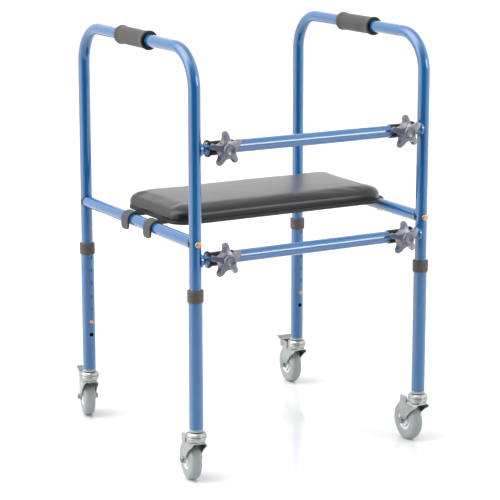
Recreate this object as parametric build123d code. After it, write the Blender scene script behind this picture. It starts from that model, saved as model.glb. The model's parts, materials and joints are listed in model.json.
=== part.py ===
from build123d import *
import math
import os

# Walking frame with a hook-on padded seat: two upside-down U side frames of bent
# tube, two crossbars clamped between the front legs by star knobs, four sliding
# lower legs with snap buttons, and a swivel caster under each leg.
#
# Units are millimetres.  X runs from left to right, Y from front (crossbars) to
# back, Z up.  The origin lies on the floor, under the middle of the whole object.

os.makedirs("parts", exist_ok=True)

# ---- Driving dimensions ----------------------------------------------------------

# Side frames
LEG_SPREAD = 468.0  # left to right, between leg axes
LEG_DEPTH = 437.0  # front to back, between the leg axes of one side
RAIL_HEIGHT = 764.0  # axis of the hand rail above the floor
BEND_RADIUS = 68.0  # of the tube's centre line
TUBE_RADIUS = 11.0
TUBE_WALL = 1.2
FRAME_LEG_END = 175.0  # lower end of the bent tube, inside the lower leg

# Side tubes and crossbars
SIDE_TUBE_HEIGHT = 432.0
UPPER_BAR_DROP = 169.0  # below the hand rail's axis
LOWER_BAR_HEIGHT = 401.5

# Lower legs
LEG_WALL = 1.2
SLIDE_GAP = 0.3  # radial, between frame tube and lower leg
LEG_UPPER_END = 348.0
HOLE_PITCH = 25.4
HOLES_ABOVE = 5  # free height holes above the button
HOLES_BELOW = 1
BUTTON_HEIGHT = 197.0
BUTTON_RADIUS = 3.8
HOLE_RADIUS = 4.0
BUTTON_STAND_OUT = 2.3  # beyond the lower leg's surface
SPRING_THICKNESS = 0.8
SPRING_WIDTH = 6.0
SPRING_BACK = 3.4  # from the spring's back leaf to the tube's axis
SPRING_LENGTH = 30.0
COLLAR_WALL = 2.0
COLLAR_LENGTH = 21.5
COLLAR_LIP = 3.0

# Crossbar ends
STUB_LENGTH = 11.9  # of the welded stub, beyond the leg's surface
STUB_WAIST_DEPTH = 1.8
STUB_WAIST = 6.0  # from the leg's surface to the narrowest place
STUB_RIM = 1.0  # straight rim at the ring
WELD_LEG = 3.0
RING_THICKNESS = 3.5
RING_STEP = 3.75  # beyond the crossbar's surface
SPIGOT_WALL = 1.5
SPIGOT_LENGTH = 66.0  # spigot's end, from the leg axis
SLEEVE_END = 73.0  # sleeve's inner end, from the leg axis
SLEEVE_WALL = 1.4
KNOB_FROM_LEG = 50.2  # knob axis, from the leg axis
STUD_RADIUS = 4.0
STUD_HOLE_GAP = 0.4
CLAMP_NUT_RADIUS = 6.0
CLAMP_NUT_THICKNESS = 5.0

# Star knob; its heights are measured along its axis from the sleeve's surface
KNOB_ARMS = 5
KNOB_REST = 5.0  # degrees, the first arm's turn from straight up
KNOB_GAP = 0.3  # between the knob's back and the sleeve
KNOB_REACH = 31.5
KNOB_TIP_RADIUS = 5.2
KNOB_VALLEY = 15.5  # from the knob's axis to the bottom of a valley
KNOB_TIP_BACK_RISE = 5.6
KNOB_TIP_FRONT_RISE = 11.1
KNOB_SHOULDER_RISE = 20.1
KNOB_CAP_RADIUS = 9.5
KNOB_CAP_RISE = 23.6
KNOB_HUB_RADIUS = 12.0
KNOB_EDGE = 1.6

# Side tube ends
SADDLE_THICKNESS = 1.6
SADDLE_STEP = 0.6  # beyond the side tube's surface
PLUG_LENGTH = 20.0
BOLT_RADIUS = 3.0
BOLT_HEAD_RADIUS = 6.0
BOLT_HEAD_HEIGHT = 3.6
INSERT_RADIUS = 4.5
INSERT_LENGTH = 12.0

# Grips
GRIP_LENGTH = 112.0
GRIP_END_WALL = 6.5
GRIP_WAIST_WALL = 5.0
GRIP_FLARE = 9.0
GRIP_EDGE = 2.0

# Casters: the trail runs along the caster's own +Y
WHEEL_RADIUS = 37.5
WHEEL_WIDTH = 22.0
TYRE_ROUNDING = 8.0
TRAIL = 31.0
HUB_RADIUS = 18.5
HUB_BOSS_RADIUS = 12.0
HUB_LENGTH = 24.8
AXLE_RADIUS = 3.0
NUT_ACROSS_FLATS = 10.0
NUT_HEIGHT = 4.5
FORK_THICKNESS = 2.4
FORK_SIDE_GAP = 0.4  # between hub and fork plate
FORK_LEAD = 17.5  # plate's leading edge, ahead of the swivel axis
FORK_LEAD_DROP = 4.5  # below the crown's underside
FORK_LEAD_ROUNDING = 5.0
FORK_ARCH = 3.5  # rise of the hollow leading edge above its chord
FORK_TRAIL_EDGE = 38.0
FORK_EYE_RADIUS = 8.0
FORK_BEND = 7.0  # outer radius of the sheet's bends
EAR_START = 17.0  # ears beside the housing, behind the swivel axis
EAR_RISE = 9.5  # above the crown's underside
EAR_ROUNDING = 5.0
CROWN_CLEARANCE = 2.5  # above the tyre
HOUSING_HEIGHT = 19.2  # from the crown's underside
HOUSING_RADIUS = 18.4
KING_PIN_RADIUS = 4.0
KING_PIN_HEAD_RADIUS = 7.0
KING_PIN_HEAD_HEIGHT = 5.0
NECK_LENGTH = 5.3  # between housing and leg
PLUG_IN_LEG = 36.0
CASTER_PLAY = 0.3  # axial, above and below the swivel

# Brake pedals on the rear casters
PEDAL_PIVOT_Y = 30.0
PEDAL_PIVOT_RISE = 3.5  # above the crown's underside
PEDAL_PIN_RADIUS = 2.5
PEDAL_SHEET = 1.6
PEDAL_GAP = 0.3
PEDAL_REACH = 64.0
PEDAL_FRONT = 40.0
PEDAL_TOP_RISE = 10.5  # above the crown's underside
PEDAL_TIP_RISE = 3.0
PEDAL_WIDTH = 31.0
PEDAL_FLANGE_RADIUS = 5.0  # round the pivot
PEDAL_FLANGE_FRONT = 46.0
PEDAL_FLANGE_BACK = 54.0
PEDAL_FLANGE_DROP = 6.0  # below the crown's underside
PEDAL_PIN_END = 0.6  # beyond the fork's outside
SHOE_WIDTH = 16.0
SHOE_FRONT = 47.0
SHOE_BACK = 59.0
SHOE_GAP = 5.0  # between shoe and tread with the brake off

# Seat
SEAT_LENGTH = 450.0  # left to right
SEAT_DEPTH = 220.0
SEAT_CORNER = 38.0
SEAT_OFFSET_Y = -19.0  # seat's middle, from the middle of the side frames
BOARD_INSET = 5.0
BOARD_LIFT = 0.4  # above the side tubes
BOARD_THICKNESS = 6.5
CUSHION_THICKNESS = 26.5  # above the board
CUSHION_SKIRT = 3.9  # down over the board's edge
CUSHION_EDGE = 11.0
CUSHION_GAP = 0.3
HOOK_SPACING = 88.0
HOOK_WIDTH = 26.0
HOOK_THICKNESS = 4.0
HOOK_DROP = 17.0  # tip below the side tube's axis
HOOK_CORNER = 8.0
HOOK_PLATE_START = 160.0  # inner end of the hook's plate, from the seat's middle
HOOK_GAP = 0.3
SCREW_RADIUS = 2.2
SCREW_HEAD_RADIUS = 4.2
SCREW_HEAD_HEIGHT = 2.2
SCREW_DEPTH = 5.0
SCREW_PLACES = (170.0, 186.0)  # from the seat's middle

# Clearances of pieces that are fixed to each other, and of turning fits
SEAT_FIT = 0.05
RUNNING_FIT = 0.06

# Caster directions at rest: degrees from straight back, towards +X
CASTER_REST = {
    "front_left": 10.0,
    "rear_left": 16.0,
    "front_right": 1.5,
    "rear_right": 6.0,
}

# ---- Derived places --------------------------------------------------------------

BACK_REACH = TRAIL + WHEEL_RADIUS
SLEEVE_RADIUS = TUBE_RADIUS + SLEEVE_WALL
KNOB_BASE = SLEEVE_RADIUS + KNOB_GAP
KNOB_TIP_BACK = SLEEVE_RADIUS + KNOB_TIP_BACK_RISE
KNOB_TIP_FRONT = SLEEVE_RADIUS + KNOB_TIP_FRONT_RISE
KNOB_SHOULDER = SLEEVE_RADIUS + KNOB_SHOULDER_RISE
KNOB_CAP_FACE = SLEEVE_RADIUS + KNOB_CAP_RISE
MIDDLE_Y = (KNOB_CAP_FACE - BACK_REACH) / 2
FRONT_Y = MIDDLE_Y - LEG_DEPTH / 2
REAR_Y = MIDDLE_Y + LEG_DEPTH / 2
LEG_X = LEG_SPREAD / 2
SIDES = {"left": -1, "right": 1}
ROWS = {"front": -1, "rear": 1}
UPPER_BAR_HEIGHT = RAIL_HEIGHT - UPPER_BAR_DROP
BAR_HEIGHTS = {"upper": UPPER_BAR_HEIGHT, "lower": LOWER_BAR_HEIGHT}

TUBE_BORE = TUBE_RADIUS - TUBE_WALL
LEG_BORE = TUBE_RADIUS + SLIDE_GAP
LEG_RADIUS = LEG_BORE + LEG_WALL
COLLAR_RADIUS = LEG_RADIUS + COLLAR_WALL
NECK_RADIUS = LEG_RADIUS
SPRING_DEPTH = TUBE_BORE - 0.6 + SPRING_BACK  # from leaf to leaf
GRIP_END_RADIUS = TUBE_RADIUS + GRIP_END_WALL
GRIP_WAIST_RADIUS = TUBE_RADIUS + GRIP_WAIST_WALL
SADDLE_RADIUS = TUBE_RADIUS + SADDLE_STEP
STUB_WAIST_RADIUS = TUBE_RADIUS - STUB_WAIST_DEPTH
RING_RADIUS = TUBE_RADIUS + RING_STEP
SPIGOT_RADIUS = TUBE_BORE - SEAT_FIT
RING_START = TUBE_RADIUS + STUB_LENGTH
BAR_START = RING_START + RING_THICKNESS
FORK_INNER = HUB_LENGTH / 2 + FORK_SIDE_GAP
FORK_OUTER = FORK_INNER + FORK_THICKNESS
CROWN_BOTTOM = 2 * WHEEL_RADIUS + CROWN_CLEARANCE
CROWN_TOP = CROWN_BOTTOM + FORK_THICKNESS
FORK_LEAD_BOTTOM = CROWN_BOTTOM - FORK_LEAD_DROP
EAR_TOP = CROWN_BOTTOM + EAR_RISE
HOUSING_TOP = CROWN_BOTTOM + HOUSING_HEIGHT
LEG_LOWER_END = HOUSING_TOP + NECK_LENGTH
PEDAL_PIVOT_Z = CROWN_BOTTOM + PEDAL_PIVOT_RISE
PEDAL_TOP = CROWN_BOTTOM + PEDAL_TOP_RISE
PEDAL_FLANGE_LOW = CROWN_BOTTOM - PEDAL_FLANGE_DROP
BOARD_BOTTOM = SIDE_TUBE_HEIGHT + TUBE_RADIUS + BOARD_LIFT
BOARD_TOP = BOARD_BOTTOM + BOARD_THICKNESS

FROM_BASE = (Align.CENTER, Align.CENTER, Align.MIN)


# ---- Shared shapes ---------------------------------------------------------------


def rod(radius, start, end):
    """Solid cylinder from one point to another."""
    run = Vector(*end) - Vector(*start)
    plane = Plane(origin=start, z_dir=run.normalized())
    return plane * Cylinder(radius, run.length, align=FROM_BASE)


def tube(radius, bore, start, end):
    """Straight tube from one point to another."""
    return rod(radius, start, end) - rod(bore, start, end)


def turned(points):
    """Solid turned about Z from (radius, height) points."""
    outline = make_face(Polyline(*[(r, 0, z) for r, z in points], close=True))
    return revolve(outline, Axis.Z)


def hexagon_prism(across_flats, start, height, direction):
    """Hexagon bar from a point along a direction."""
    plane = Plane(origin=start, z_dir=direction)
    flat = RegularPolygon(across_flats / 2, 6, major_radius=False)
    return plane * extrude(flat, height)


def plate(outline, thickness, x):
    """Plate of a (Y, Z) outline that lies from x to x + thickness."""
    return extrude(Plane(origin=(x, 0, 0), x_dir=(0, 1, 0), z_dir=(1, 0, 0)) * outline, thickness)


def save(name, shape):
    """Write one sub-part."""
    export_step(shape, f"parts/{name}.step")


# ---- Side frames -----------------------------------------------------------------


def frame_tube(side):
    """Bent tube of one side: two legs and the hand rail."""
    x = side * LEG_X
    corners = [
        (x, FRONT_Y, FRAME_LEG_END),
        (x, FRONT_Y, RAIL_HEIGHT),
        (x, REAR_Y, RAIL_HEIGHT),
        (x, REAR_Y, FRAME_LEG_END),
    ]
    path = FilletPolyline(*corners, radius=BEND_RADIUS)
    section = Circle(TUBE_RADIUS) - Circle(TUBE_BORE)
    body = sweep(Plane(origin=corners[0], z_dir=(0, 0, 1)) * section, path=path)
    for row in ROWS.values():
        y = MIDDLE_Y + row * LEG_DEPTH / 2
        inward = y - row * TUBE_RADIUS * 2
        outward = y + row * TUBE_RADIUS * 2
        body -= rod(HOLE_RADIUS, (x, y, BUTTON_HEIGHT), (x, inward, BUTTON_HEIGHT))
        bolt_hole = BOLT_RADIUS + SEAT_FIT
        body -= rod(bolt_hole, (x, outward, SIDE_TUBE_HEIGHT), (x, inward, SIDE_TUBE_HEIGHT))
    return body


def grip(side):
    """Foam hand grip with flared ends, round the middle of the hand rail."""
    half = GRIP_LENGTH / 2
    outline = [
        (TUBE_RADIUS + SEAT_FIT, -half),
        (GRIP_END_RADIUS - GRIP_EDGE, -half),
        (GRIP_END_RADIUS, GRIP_EDGE - half),
        (GRIP_END_RADIUS, GRIP_FLARE - half),
        (GRIP_WAIST_RADIUS, 2 * GRIP_FLARE - half),
        (GRIP_WAIST_RADIUS, half - 2 * GRIP_FLARE),
        (GRIP_END_RADIUS, half - GRIP_FLARE),
        (GRIP_END_RADIUS, half - GRIP_EDGE),
        (GRIP_END_RADIUS - GRIP_EDGE, half),
        (TUBE_RADIUS + SEAT_FIT, half),
    ]
    place = Plane(origin=(side * LEG_X, MIDDLE_Y, RAIL_HEIGHT), z_dir=(0, 1, 0))
    return place * turned(outline)


def leg_cut(x, y, radius):
    """Cylinder that copes a piece to a leg."""
    return rod(radius, (x, y, FRAME_LEG_END), (x, y, RAIL_HEIGHT - BEND_RADIUS))


def side_tube(side):
    """Horizontal tube between the legs of one side, coped at both ends."""
    x = side * LEG_X
    body = tube(TUBE_RADIUS, TUBE_BORE, (x, FRONT_Y, SIDE_TUBE_HEIGHT), (x, REAR_Y, SIDE_TUBE_HEIGHT))
    for row in ROWS.values():
        cope = TUBE_RADIUS + SADDLE_THICKNESS + 2 * SEAT_FIT
        body -= leg_cut(x, MIDDLE_Y + row * LEG_DEPTH / 2, cope)
    return body


def end_plug(x, row):
    """Plastic plug in a side tube's end, with a saddle against the leg."""
    y = MIDDLE_Y + row * LEG_DEPTH / 2
    saddle_end = y - row * (TUBE_RADIUS + SADDLE_THICKNESS + SEAT_FIT)
    plug_end = saddle_end - row * PLUG_LENGTH
    z = SIDE_TUBE_HEIGHT
    saddle = rod(SADDLE_RADIUS, (x, y, z), (x, saddle_end, z))
    saddle &= leg_cut(x, y, TUBE_RADIUS + SADDLE_THICKNESS + SEAT_FIT)
    plug = rod(TUBE_BORE - SEAT_FIT, (x, y, z), (x, plug_end, z))
    body = saddle + plug - leg_cut(x, y, TUBE_RADIUS + SEAT_FIT)
    body -= rod(BOLT_RADIUS + SEAT_FIT, (x, y, z), (x, plug_end, z))
    insert_start = plug_end + row * INSERT_LENGTH
    return body - rod(INSERT_RADIUS + SEAT_FIT, (x, insert_start, z), (x, plug_end, z))


def end_bolt(x, row):
    """Dome-headed bolt through a leg, and the threaded insert that it is driven into."""
    y = MIDDLE_Y + row * LEG_DEPTH / 2
    z = SIDE_TUBE_HEIGHT
    head_back = y + row * (TUBE_RADIUS + SEAT_FIT)
    plug_end = y - row * (TUBE_RADIUS + SADDLE_THICKNESS + SEAT_FIT + PLUG_LENGTH)
    head = Plane(origin=(x, head_back, z), z_dir=(0, row, 0)) * domed_head(BOLT_HEAD_RADIUS, BOLT_HEAD_HEIGHT)
    bolt = head + rod(BOLT_RADIUS, (x, head_back, z), (x, plug_end, z))
    insert_start = plug_end + row * INSERT_LENGTH
    insert = tube(INSERT_RADIUS, BOLT_RADIUS + SEAT_FIT, (x, insert_start, z), (x, plug_end, z))
    return [bolt, insert]


def domed_head(radius, height):
    """Screw head from its underside at Z 0, domed on top."""
    head = Cylinder(radius, height, align=FROM_BASE)
    return fillet(head.edges().sort_by(Axis.Z)[-1], height * 0.7)


# ---- Crossbars -------------------------------------------------------------------


def bar_socket(side, height):
    """Stub welded to a front leg, with the spigot that enters the crossbar."""
    leg = (side * LEG_X, FRONT_Y, height)
    towards = -side

    def at(distance):
        return (leg[0] + towards * distance, FRONT_Y, height)

    body = Plane(origin=leg, z_dir=(towards, 0, 0)) * turned(
        [
            (0, 0),
            (TUBE_RADIUS, 0),
            (TUBE_RADIUS, TUBE_RADIUS),
            (STUB_WAIST_RADIUS + 0.4, TUBE_RADIUS + WELD_LEG),
            (STUB_WAIST_RADIUS, TUBE_RADIUS + STUB_WAIST),
            (STUB_WAIST_RADIUS + 0.5, TUBE_RADIUS + STUB_WAIST + 2.5),
            (TUBE_RADIUS, RING_START - STUB_RIM),
            (TUBE_RADIUS, RING_START),
            (0, RING_START),
        ]
    )
    body += rod(SPIGOT_RADIUS, at(RING_START - STUB_RIM), at(SPIGOT_LENGTH))
    body -= rod(SPIGOT_RADIUS - SPIGOT_WALL, at(RING_START - STUB_RIM), at(SPIGOT_LENGTH))
    body -= leg_cut(leg[0], leg[1], TUBE_RADIUS + SEAT_FIT)
    return body - stud_hole(side, height)


def stud_hole(side, height):
    """Cylinder that clears a knob's stud through the front walls."""
    x = side * (LEG_X - KNOB_FROM_LEG)
    front = FRONT_Y - SLEEVE_RADIUS * 2
    return rod(STUD_RADIUS + STUD_HOLE_GAP, (x, front, height), (x, FRONT_Y, height))


def bar_ring(side, height):
    """Flat ring between a stub and its crossbar."""
    start = (side * (LEG_X - RING_START), FRONT_Y, height)
    end = (side * (LEG_X - BAR_START), FRONT_Y, height)
    return tube(RING_RADIUS, SPIGOT_RADIUS + SEAT_FIT, start, end)


def crossbar(height):
    """Tube between the front legs, over the spigots at both ends."""
    reach = LEG_X - BAR_START
    body = tube(TUBE_RADIUS, TUBE_BORE, (-reach, FRONT_Y, height), (reach, FRONT_Y, height))
    for side in SIDES.values():
        body -= stud_hole(side, height)
    return body


def bar_sleeve(side, height):
    """Plastic sleeve over a crossbar's end, under the knob."""
    start = (side * (LEG_X - BAR_START), FRONT_Y, height)
    end = (side * (LEG_X - SLEEVE_END), FRONT_Y, height)
    return tube(SLEEVE_RADIUS, TUBE_RADIUS + SEAT_FIT, start, end) - stud_hole(side, height)


def clamp_nut(side, height):
    """Round nut inside the spigot, which the knob's stud is screwed into."""
    x = side * (LEG_X - KNOB_FROM_LEG)
    spigot_bore = SPIGOT_RADIUS - SPIGOT_WALL
    seat = math.sqrt(spigot_bore**2 - CLAMP_NUT_RADIUS**2) - SEAT_FIT
    start = (x, FRONT_Y - seat, height)
    end = (x, FRONT_Y - seat + CLAMP_NUT_THICKNESS, height)
    return tube(CLAMP_NUT_RADIUS, STUD_RADIUS + RUNNING_FIT, start, end)


def star_outline():
    """Star of tangent arcs: round arm tips and round valleys between them."""
    pitch = math.radians(360 / KNOB_ARMS)
    tip_centre = KNOB_REACH - KNOB_TIP_RADIUS
    cosine = math.cos(pitch / 2)
    numerator = tip_centre**2 + KNOB_VALLEY**2 - 2 * tip_centre * KNOB_VALLEY * cosine - KNOB_TIP_RADIUS**2
    valley_radius = numerator / (2 * (KNOB_TIP_RADIUS + tip_centre * cosine - KNOB_VALLEY))
    valley_centre = KNOB_VALLEY + valley_radius
    share = KNOB_TIP_RADIUS / (KNOB_TIP_RADIUS + valley_radius)

    def polar(radius, angle):
        return Vector(radius * math.cos(angle), radius * math.sin(angle), 0)

    arcs = []
    for arm in range(KNOB_ARMS):
        angle = math.radians(90 + KNOB_REST) + arm * pitch
        tip = polar(tip_centre, angle)
        before = polar(valley_centre, angle - pitch / 2)
        after = polar(valley_centre, angle + pitch / 2)
        following = polar(tip_centre, angle + pitch)
        tip_start = tip + (before - tip) * share
        tip_end = tip + (after - tip) * share
        valley_end = following + (after - following) * share
        arcs.append(ThreePointArc(tip_start, polar(KNOB_REACH, angle), tip_end))
        arcs.append(ThreePointArc(tip_end, polar(KNOB_VALLEY, angle + pitch / 2), valley_end))
    return make_face(arcs)


def knob_plane(side, height):
    """Plane on a knob's axis at the crossbar's axis, facing forward."""
    x = side * (LEG_X - KNOB_FROM_LEG)
    return Plane(origin=(x, FRONT_Y, height), x_dir=(1, 0, 0), z_dir=(0, -1, 0))


def star_knob():
    """Five-armed knob whose arms slope back, with a dished round cap."""
    arms = Pos(0, 0, KNOB_BASE) * extrude(star_outline(), KNOB_CAP_FACE - KNOB_BASE)
    envelope = turned(
        [
            (0, KNOB_BASE),
            (KNOB_HUB_RADIUS, KNOB_BASE),
            (KNOB_REACH + 1, KNOB_TIP_BACK),
            (KNOB_REACH + 1, KNOB_TIP_FRONT - 1),
            (KNOB_REACH - KNOB_TIP_RADIUS, KNOB_TIP_FRONT + 2),
            (KNOB_CAP_RADIUS, KNOB_SHOULDER),
            (0, KNOB_SHOULDER),
        ]
    )
    body = arms & envelope
    body = fillet(body.edges().filter_by(lambda e: e.center().Z > KNOB_TIP_FRONT - 4), KNOB_EDGE)
    cap = Cylinder(KNOB_CAP_RADIUS, KNOB_CAP_FACE - KNOB_SHOULDER + 1, align=FROM_BASE)
    cap = fillet(cap.edges().sort_by(Axis.Z)[-1], KNOB_EDGE)
    dish_radius = KNOB_CAP_RADIUS * 4
    cap -= Pos(0, 0, KNOB_CAP_FACE - KNOB_SHOULDER + dish_radius) * Sphere(dish_radius)
    body += Pos(0, 0, KNOB_SHOULDER - 1) * cap
    stud_seat = KNOB_SHOULDER - 4
    return body - Cylinder(STUD_RADIUS + SEAT_FIT, stud_seat, align=FROM_BASE)


def knob_stud():
    """Threaded stud moulded into the knob, which ends in the clamp nut."""
    length = KNOB_SHOULDER - 4 - SEAT_FIT
    return chamfer(Cylinder(STUD_RADIUS, length, align=FROM_BASE).edges().sort_by(Axis.Z)[0], 0.8)


# ---- Lower legs ------------------------------------------------------------------


def lower_leg(x, y, row):
    """Outer tube that slides over a frame leg, with its row of height holes."""
    body = tube(LEG_RADIUS, LEG_BORE, (x, y, LEG_LOWER_END), (x, y, LEG_UPPER_END))
    for step in range(-HOLES_BELOW, HOLES_ABOVE + 1):
        z = BUTTON_HEIGHT + step * HOLE_PITCH
        body -= rod(HOLE_RADIUS, (x, y, z), (x, y - row * LEG_RADIUS * 2, z))
    return body


def leg_collar(x, y):
    """Plastic collar on a lower leg's upper end."""
    top = LEG_UPPER_END + COLLAR_LIP
    bottom = top - COLLAR_LENGTH
    body = tube(COLLAR_RADIUS, LEG_BORE, (x, y, bottom), (x, y, top))
    body -= rod(LEG_RADIUS + SEAT_FIT, (x, y, bottom), (x, y, LEG_UPPER_END + SEAT_FIT))
    outer = [e for e in body.edges().filter_by(GeomType.CIRCLE) if e.radius > COLLAR_RADIUS - 0.1]
    return fillet(outer, 1.0)


def snap_button(x, y, row):
    """Snap button on its bent leaf spring, inside a frame leg."""
    inward = Plane(origin=(x, y, BUTTON_HEIGHT), x_dir=(1, 0, 0), z_dir=(0, -row, 0))
    leaf_out = TUBE_BORE - 0.6
    tip = LEG_RADIUS + BUTTON_STAND_OUT
    head = Cylinder(BUTTON_RADIUS, tip - leaf_out + 0.2, align=FROM_BASE)
    head = fillet(head.edges().sort_by(Axis.Z)[-1], BUTTON_STAND_OUT * 0.9)
    head = Pos(0, 0, leaf_out - 0.2) * head
    rise = 1 if inward.y_dir.Z > 0 else -1
    low, high = -SPRING_WIDTH / 2, SPRING_LENGTH
    front = Box(SPRING_WIDTH, high - low, SPRING_THICKNESS, align=(Align.CENTER, Align.MIN, Align.MAX))
    front = Pos(0, low, leaf_out) * front
    bend_radius = SPRING_DEPTH / 2
    back = Pos(0, 0, SPRING_THICKNESS - SPRING_DEPTH) * front
    ring = Cylinder(bend_radius, SPRING_WIDTH, rotation=(0, 90, 0))
    ring -= Cylinder(bend_radius - SPRING_THICKNESS, SPRING_WIDTH, rotation=(0, 90, 0))
    ring -= Box(SPRING_WIDTH, SPRING_DEPTH, SPRING_DEPTH, align=(Align.CENTER, Align.MAX, Align.CENTER))
    bend = Pos(0, high, leaf_out - bend_radius) * ring
    spring = front + back + bend
    if rise < 0:
        spring = mirror(spring, Plane.XZ)
    return inward * (head + spring)


# ---- Casters, built about their own swivel axis ----------------------------------


def caster_stem():
    """King pin with its lower head, neck washer and expander plug."""
    pin_bottom = CROWN_BOTTOM - CASTER_PLAY
    return turned(
        [
            (0, pin_bottom - KING_PIN_HEAD_HEIGHT),
            (KING_PIN_HEAD_RADIUS - 2, pin_bottom - KING_PIN_HEAD_HEIGHT),
            (KING_PIN_HEAD_RADIUS, pin_bottom - KING_PIN_HEAD_HEIGHT + 2),
            (KING_PIN_HEAD_RADIUS, pin_bottom),
            (KING_PIN_RADIUS, pin_bottom),
            (KING_PIN_RADIUS, HOUSING_TOP + CASTER_PLAY),
            (NECK_RADIUS - 0.6, HOUSING_TOP + CASTER_PLAY),
            (NECK_RADIUS, HOUSING_TOP + CASTER_PLAY + 0.6),
            (NECK_RADIUS, LEG_LOWER_END - SEAT_FIT),
            (LEG_BORE - SEAT_FIT, LEG_LOWER_END - SEAT_FIT),
            (LEG_BORE - SEAT_FIT, LEG_LOWER_END + PLUG_IN_LEG - 2),
            (LEG_BORE - SEAT_FIT - 2, LEG_LOWER_END + PLUG_IN_LEG),
            (0, LEG_LOWER_END + PLUG_IN_LEG),
        ]
    )


def race_housing():
    """Ribbed ball-race housing on top of the fork."""
    groove = HOUSING_RADIUS - 1.2
    middle = (CROWN_TOP + HOUSING_TOP) / 2
    return turned(
        [
            (0, CROWN_BOTTOM),
            (HOUSING_RADIUS - 2, CROWN_BOTTOM),
            (HOUSING_RADIUS - 2, CROWN_TOP),
            (HOUSING_RADIUS, CROWN_TOP + 1.2),
            (HOUSING_RADIUS, middle - 2.2),
            (groove, middle - 1.2),
            (groove, middle + 0.2),
            (HOUSING_RADIUS, middle + 1.2),
            (HOUSING_RADIUS, middle + 2.6),
            (HOUSING_RADIUS - 1.0, middle + 4.4),
            (HOUSING_RADIUS - 3.6, HOUSING_TOP - 1.6),
            (NECK_RADIUS, HOUSING_TOP),
            (0, HOUSING_TOP),
        ]
    )


def fork_outline():
    """Side plate's outline in (Y, Z): crown, hollow leading edge, axle eye, trailing edge and ear."""
    lead = Vector(-FORK_LEAD, FORK_LEAD_BOTTOM, 0)
    eye = Vector(TRAIL - FORK_EYE_RADIUS, WHEEL_RADIUS, 0)
    run = (eye - lead).normalized()
    hollow = (lead + eye) / 2 + Vector(-run.Y, run.X, 0) * FORK_ARCH
    behind = Polyline(
        eye,
        (TRAIL + FORK_EYE_RADIUS * 0.8, WHEEL_RADIUS),
        (FORK_TRAIL_EDGE, WHEEL_RADIUS + FORK_EYE_RADIUS * 2),
        (FORK_TRAIL_EDGE, EAR_TOP),
        (EAR_START, EAR_TOP),
        (EAR_START, CROWN_TOP),
        (-FORK_LEAD, CROWN_TOP),
        lead,
    )
    face = make_face([ThreePointArc(lead, hollow, eye), behind])
    corners = (
        (-FORK_LEAD, FORK_LEAD_BOTTOM, FORK_LEAD_ROUNDING),
        (FORK_TRAIL_EDGE, EAR_TOP, EAR_ROUNDING),
        (EAR_START, EAR_TOP, EAR_ROUNDING / 2),
    )
    for y, z, radius in corners:
        face = fillet(face.vertices().sort_by_distance((y, z, 0))[0], radius)
    return face + Pos(TRAIL, WHEEL_RADIUS) * Circle(FORK_EYE_RADIUS)


def caster_fork(braked):
    """Pressed fork with its race housing; the braked one has pedal pivot holes."""
    width = 2 * FORK_OUTER
    gap = 2 * FORK_INNER
    crown_length = FORK_LEAD + EAR_START
    from_front = (Align.CENTER, Align.MIN, Align.MIN)
    crown = Pos(0, -FORK_LEAD, 0) * Box(width, crown_length, CROWN_TOP, align=from_front)
    crown = fillet(crown.edges().filter_by(Axis.Y).sort_by(Axis.Z)[-2:], FORK_BEND)
    hollow = Pos(0, -FORK_LEAD - 1, -1) * Box(gap, crown_length + 2, CROWN_BOTTOM + 1, align=from_front)
    hollow = fillet(hollow.edges().filter_by(Axis.Y).sort_by(Axis.Z)[-2:], FORK_BEND - FORK_THICKNESS)
    rear_length = TRAIL + FORK_EYE_RADIUS + 1 - EAR_START
    rear = Pos(0, EAR_START, 0) * Box(width, rear_length, EAR_TOP, align=from_front)
    rear -= Pos(0, EAR_START - 1, -1) * Box(gap, rear_length + 2, EAR_TOP + 2, align=from_front)
    body = (crown - hollow + rear) & plate(fork_outline(), width, -FORK_OUTER)
    body += race_housing()
    body -= rod(KING_PIN_RADIUS + RUNNING_FIT, (0, 0, 0), (0, 0, HOUSING_TOP + 1))
    axle = AXLE_RADIUS + SEAT_FIT
    body -= rod(axle, (-width, TRAIL, WHEEL_RADIUS), (width, TRAIL, WHEEL_RADIUS))
    if braked:
        pin = PEDAL_PIN_RADIUS + RUNNING_FIT
        body -= rod(pin, (-width, PEDAL_PIVOT_Y, PEDAL_PIVOT_Z), (width, PEDAL_PIVOT_Y, PEDAL_PIVOT_Z))
    return body


def wheel_plane():
    """Plane at the wheel's centre, with its Z along the axle."""
    return Plane(origin=(0, TRAIL, WHEEL_RADIUS), x_dir=(0, 1, 0), z_dir=(1, 0, 0))


def caster_tyre():
    """Rubber tread ring with rounded shoulders."""
    ring = Cylinder(WHEEL_RADIUS, WHEEL_WIDTH)
    ring = fillet(ring.edges(), TYRE_ROUNDING)
    ring -= Cylinder(HUB_RADIUS + SEAT_FIT, WHEEL_WIDTH)
    return wheel_plane() * ring


def caster_hub():
    """Plastic hub with a dished web and a longer centre boss."""
    half = WHEEL_WIDTH / 2
    boss = HUB_BOSS_RADIUS - 1
    outline = [
        (AXLE_RADIUS + RUNNING_FIT, -HUB_LENGTH / 2),
        (boss, -HUB_LENGTH / 2),
        (boss + 1, 3 - half),
        (HUB_RADIUS - 2.5, 3 - half),
        (HUB_RADIUS - 1.5, 1 - half),
        (HUB_RADIUS, 1 - half),
        (HUB_RADIUS, half - 1),
        (HUB_RADIUS - 1.5, half - 1),
        (HUB_RADIUS - 2.5, half - 3),
        (boss + 1, half - 3),
        (boss, HUB_LENGTH / 2),
        (AXLE_RADIUS + RUNNING_FIT, HUB_LENGTH / 2),
    ]
    return wheel_plane() * turned(outline)


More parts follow.
